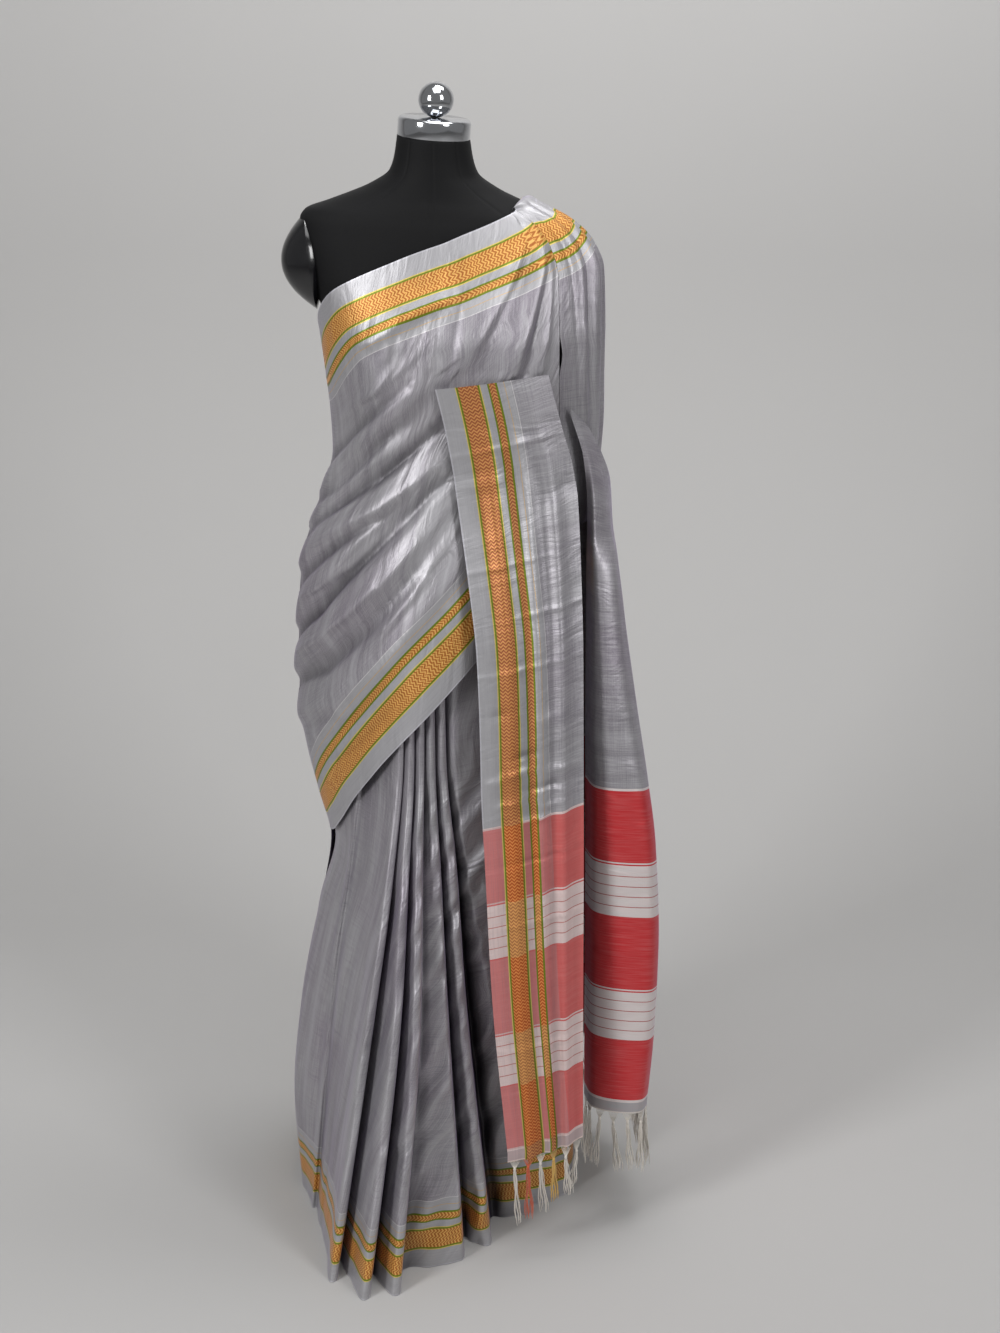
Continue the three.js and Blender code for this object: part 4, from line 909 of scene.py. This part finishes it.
def paper_material():
    """Plain pale studio paper with very slow changes of tone."""
    material, tree, surface = new_material("pale studio paper")
    place = add(tree, "TexCoord", out="Object")
    tone = add(tree, "TexNoise", {"Vector": place, "Scale": 1.3, "Detail": 3.0})
    fill(tree, surface, {
        "Base Color": layered(tree, linear("#a9a8a7"), (tone, "#aeadac")),
        "Roughness": 0.9,
    })
    return material


silk = silk_material("shot silk with woven borders")
pallu_silk = silk_material("silk pallu with cross bands", pallu=True, painted_streaks=0.3)
# The front panel has a lit copy of the pallu silk, its colours paled by painted sheen.
front_silk = silk_material("silk pallu with cross bands and painted sheen", pallu=True, painted_sheen=0.26,
                           crumpled=0.36, painted_streaks=0.3)
cover = form_material()
plate = gloss_material()
chrome = steel_material("chromed steel", "#c4c6ca", "#d4d6da", 0.06, 0.08)
painted = steel_material("dark painted steel", "#2a2b2f", "#34353a", 0.38, 0.15)
white_thread = thread_material("off-white silk thread", "#d8d2ca", "#b9b1a6")
orange_thread = thread_material("orange silk thread", "#c8582a", "#a8401e")
yellow_thread = thread_material("yellow silk thread", "#d0ad56", "#b98a3c")


# The cloth pieces, each in place of its plain solid
def settle(piece, node):
    """Puts a finished piece in place of its plain solid, on the one body."""
    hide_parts(node)
    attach(piece, "root")
    return piece


grid = skirt_grid()
skirt = sheet_mesh("inner_skirt", grid, (lengths(grid, 0) * MM, lengths(grid, 1) * MM), silk,
                   closed=True, painted_fold_shade=(90, 60))
settle(skirt, "skirt_wrap")

grid = pleat_grid()
pleats = sheet_mesh("pleated_front", grid, (lengths(grid, 0) * MM, lengths(grid, 1) * MM), silk,
                    painted_fold_shade=(110, 20))
settle(pleats, "front_pleats")

grid = wrap_grid()
wrap = sheet_mesh("outer_wrap", grid, two_edges(grid, grid[0], grid[-1]), silk)
settle(wrap, "hip_wrap")

grid = chest_grid()
chest = sheet_mesh("chest_cloth", grid, two_edges(grid, grid[0], grid[-1]), silk)
settle(chest, "chest_drape")

grid = fall_grid()
down = lengths(grid[::-1], 0)[::-1]
# At the chest the border is measured from the end of the cap rows, along the slope of
# the edge. Further out the edge is folded under, so the border starts lower down.
outward = smooth(np.linspace(0, 1, grid.shape[1]), 0.0, 0.45)
under = down[-CAP_ROWS - 1] * (1 - outward) + 27 * outward
from_edge = np.abs(down - under) * (0.9 + 0.1 * outward)
fall = sheet_mesh("shoulder_cloth", grid, (from_edge * MM, lengths(grid, 1) * MM), silk)
settle(fall, "shoulder_fall")

grid = panel_grid()
panel_edge = grid[0].copy()
front = sheet_mesh("pallu_panel", grid, (lengths(grid, 1) * MM, lengths(grid, 0) * MM), front_silk,
                   upright=False)
settle(front, "pallu_front")

grid = side_grid()
side_edge = grid[0].copy()
inward = SIDE_FROM_EDGE + lengths(grid, 1) * MM
side = sheet_mesh("pallu_flare", grid, (inward, lengths(grid, 0) * MM), pallu_silk, upright=False,
                  painted_fold_shade=(60, 60))
settle(side, "pallu_side")

grid = back_grid()
back_edge = grid[0].copy()
inward = lengths(grid[:, ::-1], 1)[:, ::-1]
back = sheet_mesh("pallu_fall", grid, (inward * MM, lengths(grid, 0) * MM), pallu_silk, upright=False,
                  painted_fold_shade=(90, 20))
settle(back, "pallu_back")


# Tassels
def tube(bm, points, radius, sides, slot):
    """A thread through the points, with a radius at each, round in level sections."""
    rings = []
    for k, point in enumerate(points):
        r = radius[k]
        rings.append([bm.verts.new((point[0] + r * math.cos(2 * math.pi * i / sides),
                                    point[1] + r * math.sin(2 * math.pi * i / sides), point[2]))
                      for i in range(sides)])
    for low, high in zip(rings, rings[1:]):
        for i in range(sides):
            face = bm.faces.new((low[i], high[i], high[(i + 1) % sides], low[(i + 1) % sides]))
            face.material_index = slot
            face.smooth = True


TASSEL_EVERY = 0.021      # metres from one tassel to the next
ROOT_STRANDS, LOOSE_THREADS = 7, 9


def tassels(name, edge, lowest, colours, seed, node):
    """Knotted tassels along the end of the cloth, each a knot and a bunch of threads."""
    chance = np.random.default_rng(seed)
    edge = edge * MM
    along = np.concatenate([[0], np.cumsum(np.linalg.norm(np.diff(edge, axis=0), axis=1))])
    count = int(round(along[-1] / TASSEL_EVERY))
    bm = bmesh.new()
    for i in range(count):
        share = (i + 0.5) / count
        at = share * along[-1]
        root = np.array([np.interp(at, along, edge[:, k]) for k in range(3)])
        ahead = np.array([np.interp(at + 0.004, along, edge[:, k]) for k in range(3)]) - root
        ahead[2] = 0
        ahead /= max(np.linalg.norm(ahead), 1e-9)
        tip_z = lowest(share) * MM + chance.uniform(-0.006, 0.006)
        knot_z = root[2] - chance.uniform(0.012, 0.018)
        sway = chance.uniform(-0.010, 0.010)
        slot = colours[i % len(colours)]
        for k in range(ROOT_STRANDS):
            foot = root + ahead * (k - ROOT_STRANDS // 2) * 0.0022
            knot = np.array([root[0], root[1], knot_z])
            points = [foot, (foot + knot) / 2 + [0, 0, -0.001], knot]
            tube(bm, points, [0.0004, 0.0005, 0.0006], 4, slot)
        ball = [root + [0, 0, knot_z - root[2] + dz] for dz in (0.004, 0.002, 0, -0.002, -0.004)]
        tube(bm, ball, [0.0008, 0.0019, 0.0023, 0.0019, 0.0009], 8, slot)
        for k in range(LOOSE_THREADS):
            angle = 2 * math.pi * k / LOOSE_THREADS + chance.uniform(0, 0.4)
            wide = chance.uniform(0.002, 0.0065)
            end = tip_z + chance.uniform(-0.004, 0.008)
            points = []
            for t in np.linspace(0, 1, 7):
                out = wide * math.sin(0.5 * math.pi * t) + 0.0006
                wave = 0.0012 * math.sin(t * 9 + k)
                points.append(np.array([
                    root[0] + math.cos(angle) * out + ahead[0] * sway * t + wave,
                    root[1] + math.sin(angle) * out * 0.7 + ahead[1] * sway * t,
                    knot_z - 0.003 + (end - knot_z) * t,
                ]))
            tube(bm, points, [0.0007] * 6 + [0.0003], 4, slot)
    mesh = bpy.data.meshes.new(name)
    bm.to_mesh(mesh)
    bm.free()
    for thread in (white_thread, orange_thread, yellow_thread):
        mesh.materials.append(thread)
    piece = bpy.data.objects.new(name, mesh)
    bpy.context.collection.objects.link(piece)
    return settle(piece, node)


front_fringe = tassels("front_tassels", panel_edge, lambda s: 52 + 56 * s, [0, 1, 0, 2, 0, 0, 0], 3,
                       "fringe_front")
side_fringe = tassels("side_tassels", side_edge, lambda s: 92, [0], 5, "fringe_side")
back_fringe = tassels("back_tassels", back_edge, lambda s: 88, [0], 8, "fringe_back")


# The dress form
def form_ring(z, half_width, ahead, behind, count):
    """One level of the torso: its half width, and its depth ahead and behind, in mm."""
    rise = smooth(z, 1400, 1470)
    lean = math.tan(CAP_TILT) if z >= NECK_TOP else 0.04 * rise
    middle = NECK_X * smooth(z, 1400, 1520)
    turn = np.linspace(0, 360, count + 1)[:-1]
    folded = np.where(turn > 180, turn - 360, turn)
    s, c = np.sin(np.radians(turn)), np.cos(np.radians(turn))
    bust = 12 * bell(z - 1275, 58) * (bell(folded + 34, 17) + bell(folded - 34, 17))
    deep = np.where(c > 0, ahead + bust, behind)
    # The seams of the cover are shallow grooves: the centre lines and the shaped side seams.
    seam = sum(1.1 * bell(folded - at, 1.3) for at in (0, -38, 38, 180, 142, -142))
    deep = deep - seam
    x = s * (half_width - 0.5 * seam)
    return np.stack([middle + x, -c * deep, z - lean * x], axis=-1)


def form_mesh():
    shape = columns(FORM, "z", ["side", "front", "back"])
    levels = np.concatenate([np.linspace(790, 1400, 70), np.linspace(1404, NECK_TOP, 74)])
    count = 240
    rings = np.array([form_ring(z, *(float(shape[key](z)) for key in ("side", "front", "back")), count)
                      for z in levels]) * MM
    bm = bmesh.new()
    verts = [[bm.verts.new(p) for p in ring] for ring in rings]
    for a, b in zip(verts, verts[1:]):
        for i in range(count):
            bm.faces.new((a[i], a[(i + 1) % count], b[(i + 1) % count], b[i])).smooth = True
    bm.faces.new(list(reversed(verts[0])))
    bm.faces.new(verts[-1])
    mesh = bpy.data.meshes.new("form_body")
    bm.to_mesh(mesh)
    bm.free()
    mesh.materials.append(cover)
    piece = bpy.data.objects.new("form_body", mesh)
    bpy.context.collection.objects.link(piece)
    return settle(piece, "form_torso")


def turned(name, profile, place, material, node, sides=96):
    """A turned piece: a profile of radius and height spun about its own axis."""
    bm = bmesh.new()
    rings = [[bm.verts.new((r * MM * math.cos(2 * math.pi * i / sides),
                            r * MM * math.sin(2 * math.pi * i / sides), h * MM))
              for i in range(sides)] if r > 0 else [bm.verts.new((0, 0, h * MM))]
             for r, h in profile]
    for a, b in zip(rings, rings[1:]):
        for i in range(sides):
            k = (i + 1) % sides
            corners = [a[i % len(a)], a[k % len(a)], b[k % len(b)], b[i % len(b)]]
            unique = list(dict.fromkeys(corners))
            if len(unique) > 2:
                bm.faces.new(unique).smooth = True
    bmesh.ops.recalc_face_normals(bm, faces=bm.faces)
    bm.transform(place)
    mesh = bpy.data.meshes.new(name)
    bm.to_mesh(mesh)
    bm.free()
    mesh.materials.append(material)
    piece = bpy.data.objects.new(name, mesh)
    bpy.context.collection.objects.link(piece)
    return settle(piece, node)


TOP_OF_DOME = math.radians(89.9)      # past this a turned piece closes in a point
body = form_mesh()
tilt = Matrix.Rotation(CAP_TILT, 4, "Y")
cap_place = Matrix.Translation((NECK_X * MM, 0, (NECK_TOP + 0.4) * MM)) @ tilt
cap_profile = [
    (0, 0), (48, 0), (48.7, 0.3), (49, 1), (49, 20.5), (48.8, 22), (48.2, 23.4), (47.2, 24.5),
    (45.8, 25.4), (44, CAP_HEIGHT), (0, CAP_HEIGHT),
]
turned("neck_lid", cap_profile, cap_place, chrome, "neck_cap")
BALL_RADIUS = 23.7
BALL_FOOT = 73      # degrees below its middle where the ball is cut flat
ball_profile = [(0, 0)]
for angle in np.radians(np.linspace(-BALL_FOOT, 90, 40)):
    across = math.cos(angle) if angle < TOP_OF_DOME else 0
    rise = math.sin(math.radians(BALL_FOOT)) + math.sin(angle)
    ball_profile.append((BALL_RADIUS * across, BALL_RADIUS * rise))
reach = CAP_HEIGHT + 0.8      # the ball stands just clear of the cap
ball_place = Matrix.Translation(((NECK_X + reach * math.sin(CAP_TILT)) * MM, 0,
                                 (NECK_TOP + reach * math.cos(CAP_TILT)) * MM)) @ tilt
turned("lid_ball", ball_profile, ball_place, chrome, "cap_ball")


PLATE_RIM, PLATE_ROOT, PLATE_LEAN = 165, 30, 6      # mm, mm and degrees


def arm_plate(name, sign, dome, tall, deep, middle, node):
    """The domed plate that closes an armhole. Its root is inside the form."""
    profile = [(0, 0)]
    for angle in np.radians(np.linspace(0, 90, 40)):
        across = math.cos(angle) if angle < TOP_OF_DOME else 0
        profile.append((across / MM, PLATE_ROOT + dome * (1 - across * across)))
    place = (Matrix.Translation((sign * (PLATE_RIM - PLATE_ROOT) * MM, 2 * MM, middle * MM))
             @ Matrix.Rotation(math.radians(PLATE_LEAN * sign), 4, "Y")
             @ Matrix.Rotation(math.radians(90 * sign), 4, "Y")
             @ Matrix.Diagonal((tall * MM, deep * MM, 1, 1)))
    turned(name, profile, place, plate, node)


arm_plate("armhole_cap_right", -1, 41, 66, 48, 1411, "armhole_plate_right")
arm_plate("armhole_cap_left", 1, 32, 58, 44, 1396, "armhole_plate_left")

for node, material in (("stand_base", painted), ("stand_pole", painted)):
    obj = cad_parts[node]
    obj.data.materials.clear()
    obj.data.materials.append(material)
    for polygon in obj.data.polygons:
        polygon.use_smooth = True


# The studio: paper, lights and camera
PAPER_HALF, PAPER_FRONT, PAPER_TOP = 6, -6.0, 5.0
BEND_START, BEND_RADIUS, BEND_STEPS = 0.9, 1.1, 12


def backdrop():
    """Paper that lies on the floor and curves up into the back wall, in metres."""
    line = [(PAPER_FRONT, 0.0), (BEND_START, 0.0)]
    for k in range(1, BEND_STEPS + 1):
        a = math.radians(90 * k / BEND_STEPS)
        line.append((BEND_START + BEND_RADIUS * math.sin(a), BEND_RADIUS - BEND_RADIUS * math.cos(a)))
    line.append((BEND_START + BEND_RADIUS, PAPER_TOP))
    vertices = [(x, y, z) for y, z in line for x in (-PAPER_HALF, PAPER_HALF)]
    faces = [(2 * i, 2 * i + 1, 2 * i + 3, 2 * i + 2) for i in range(len(line) - 1)]
    mesh = bpy.data.meshes.new("studio_sweep")
    mesh.from_pydata(vertices, [], faces)
    mesh.polygons.foreach_set("use_smooth", [True] * len(faces))
    mesh.materials.append(paper_material())
    paper = bpy.data.objects.new("studio_sweep", mesh)
    bpy.context.collection.objects.link(paper)


backdrop()


def area_light(name, place, target, size, power):
    """A softbox that looks at its target. size is in metres and power in watts."""
    light = bpy.data.lights.new(name, "AREA")
    light.shape = "RECTANGLE"
    light.size, light.size_y = size
    light.energy = power
    obj = bpy.data.objects.new(name, light)
    obj.location = place
    obj.rotation_euler = (Vector(target) - Vector(place)).to_track_quat("-Z", "Y").to_euler()
    bpy.context.collection.objects.link(obj)


area_light("key_softbox", (2.2, -2.6, 2.6), (0, 0, 0.95), (0.9, 1.5), 52)
area_light("fill_softbox", (-2.4, -2.5, 2.4), (0, 0, 0.9), (0.9, 1.6), 84)
area_light("top_softbox", (0.2, -0.8, 3.7), (0, 0.1, 0.8), (1.6, 1.6), 26)
area_light("wall_wash", (0.5, 0.2, 3.3), (0.45, 2.0, 1.25), (1.2, 0.8), 46)

world = bpy.data.worlds.new("studio")
world.use_nodes = True
world.node_tree.nodes["Background"].inputs[0].default_value = linear("#dadada")
world.node_tree.nodes["Background"].inputs[1].default_value = 0.30
bpy.context.scene.world = world
bpy.context.scene.view_settings.view_transform = "Standard"

LOOK_DOWN = 18.9      # degrees below level
camera = bpy.data.cameras.new("camera")
camera.lens = 64.8
camera.sensor_width = 36
eye = bpy.data.objects.new("camera", camera)
eye.location = (0.092, -3.267, 1.943)
eye.rotation_euler = (math.radians(90 - LOOK_DOWN), 0, 0)
bpy.context.collection.objects.link(eye)
bpy.context.scene.camera = eye
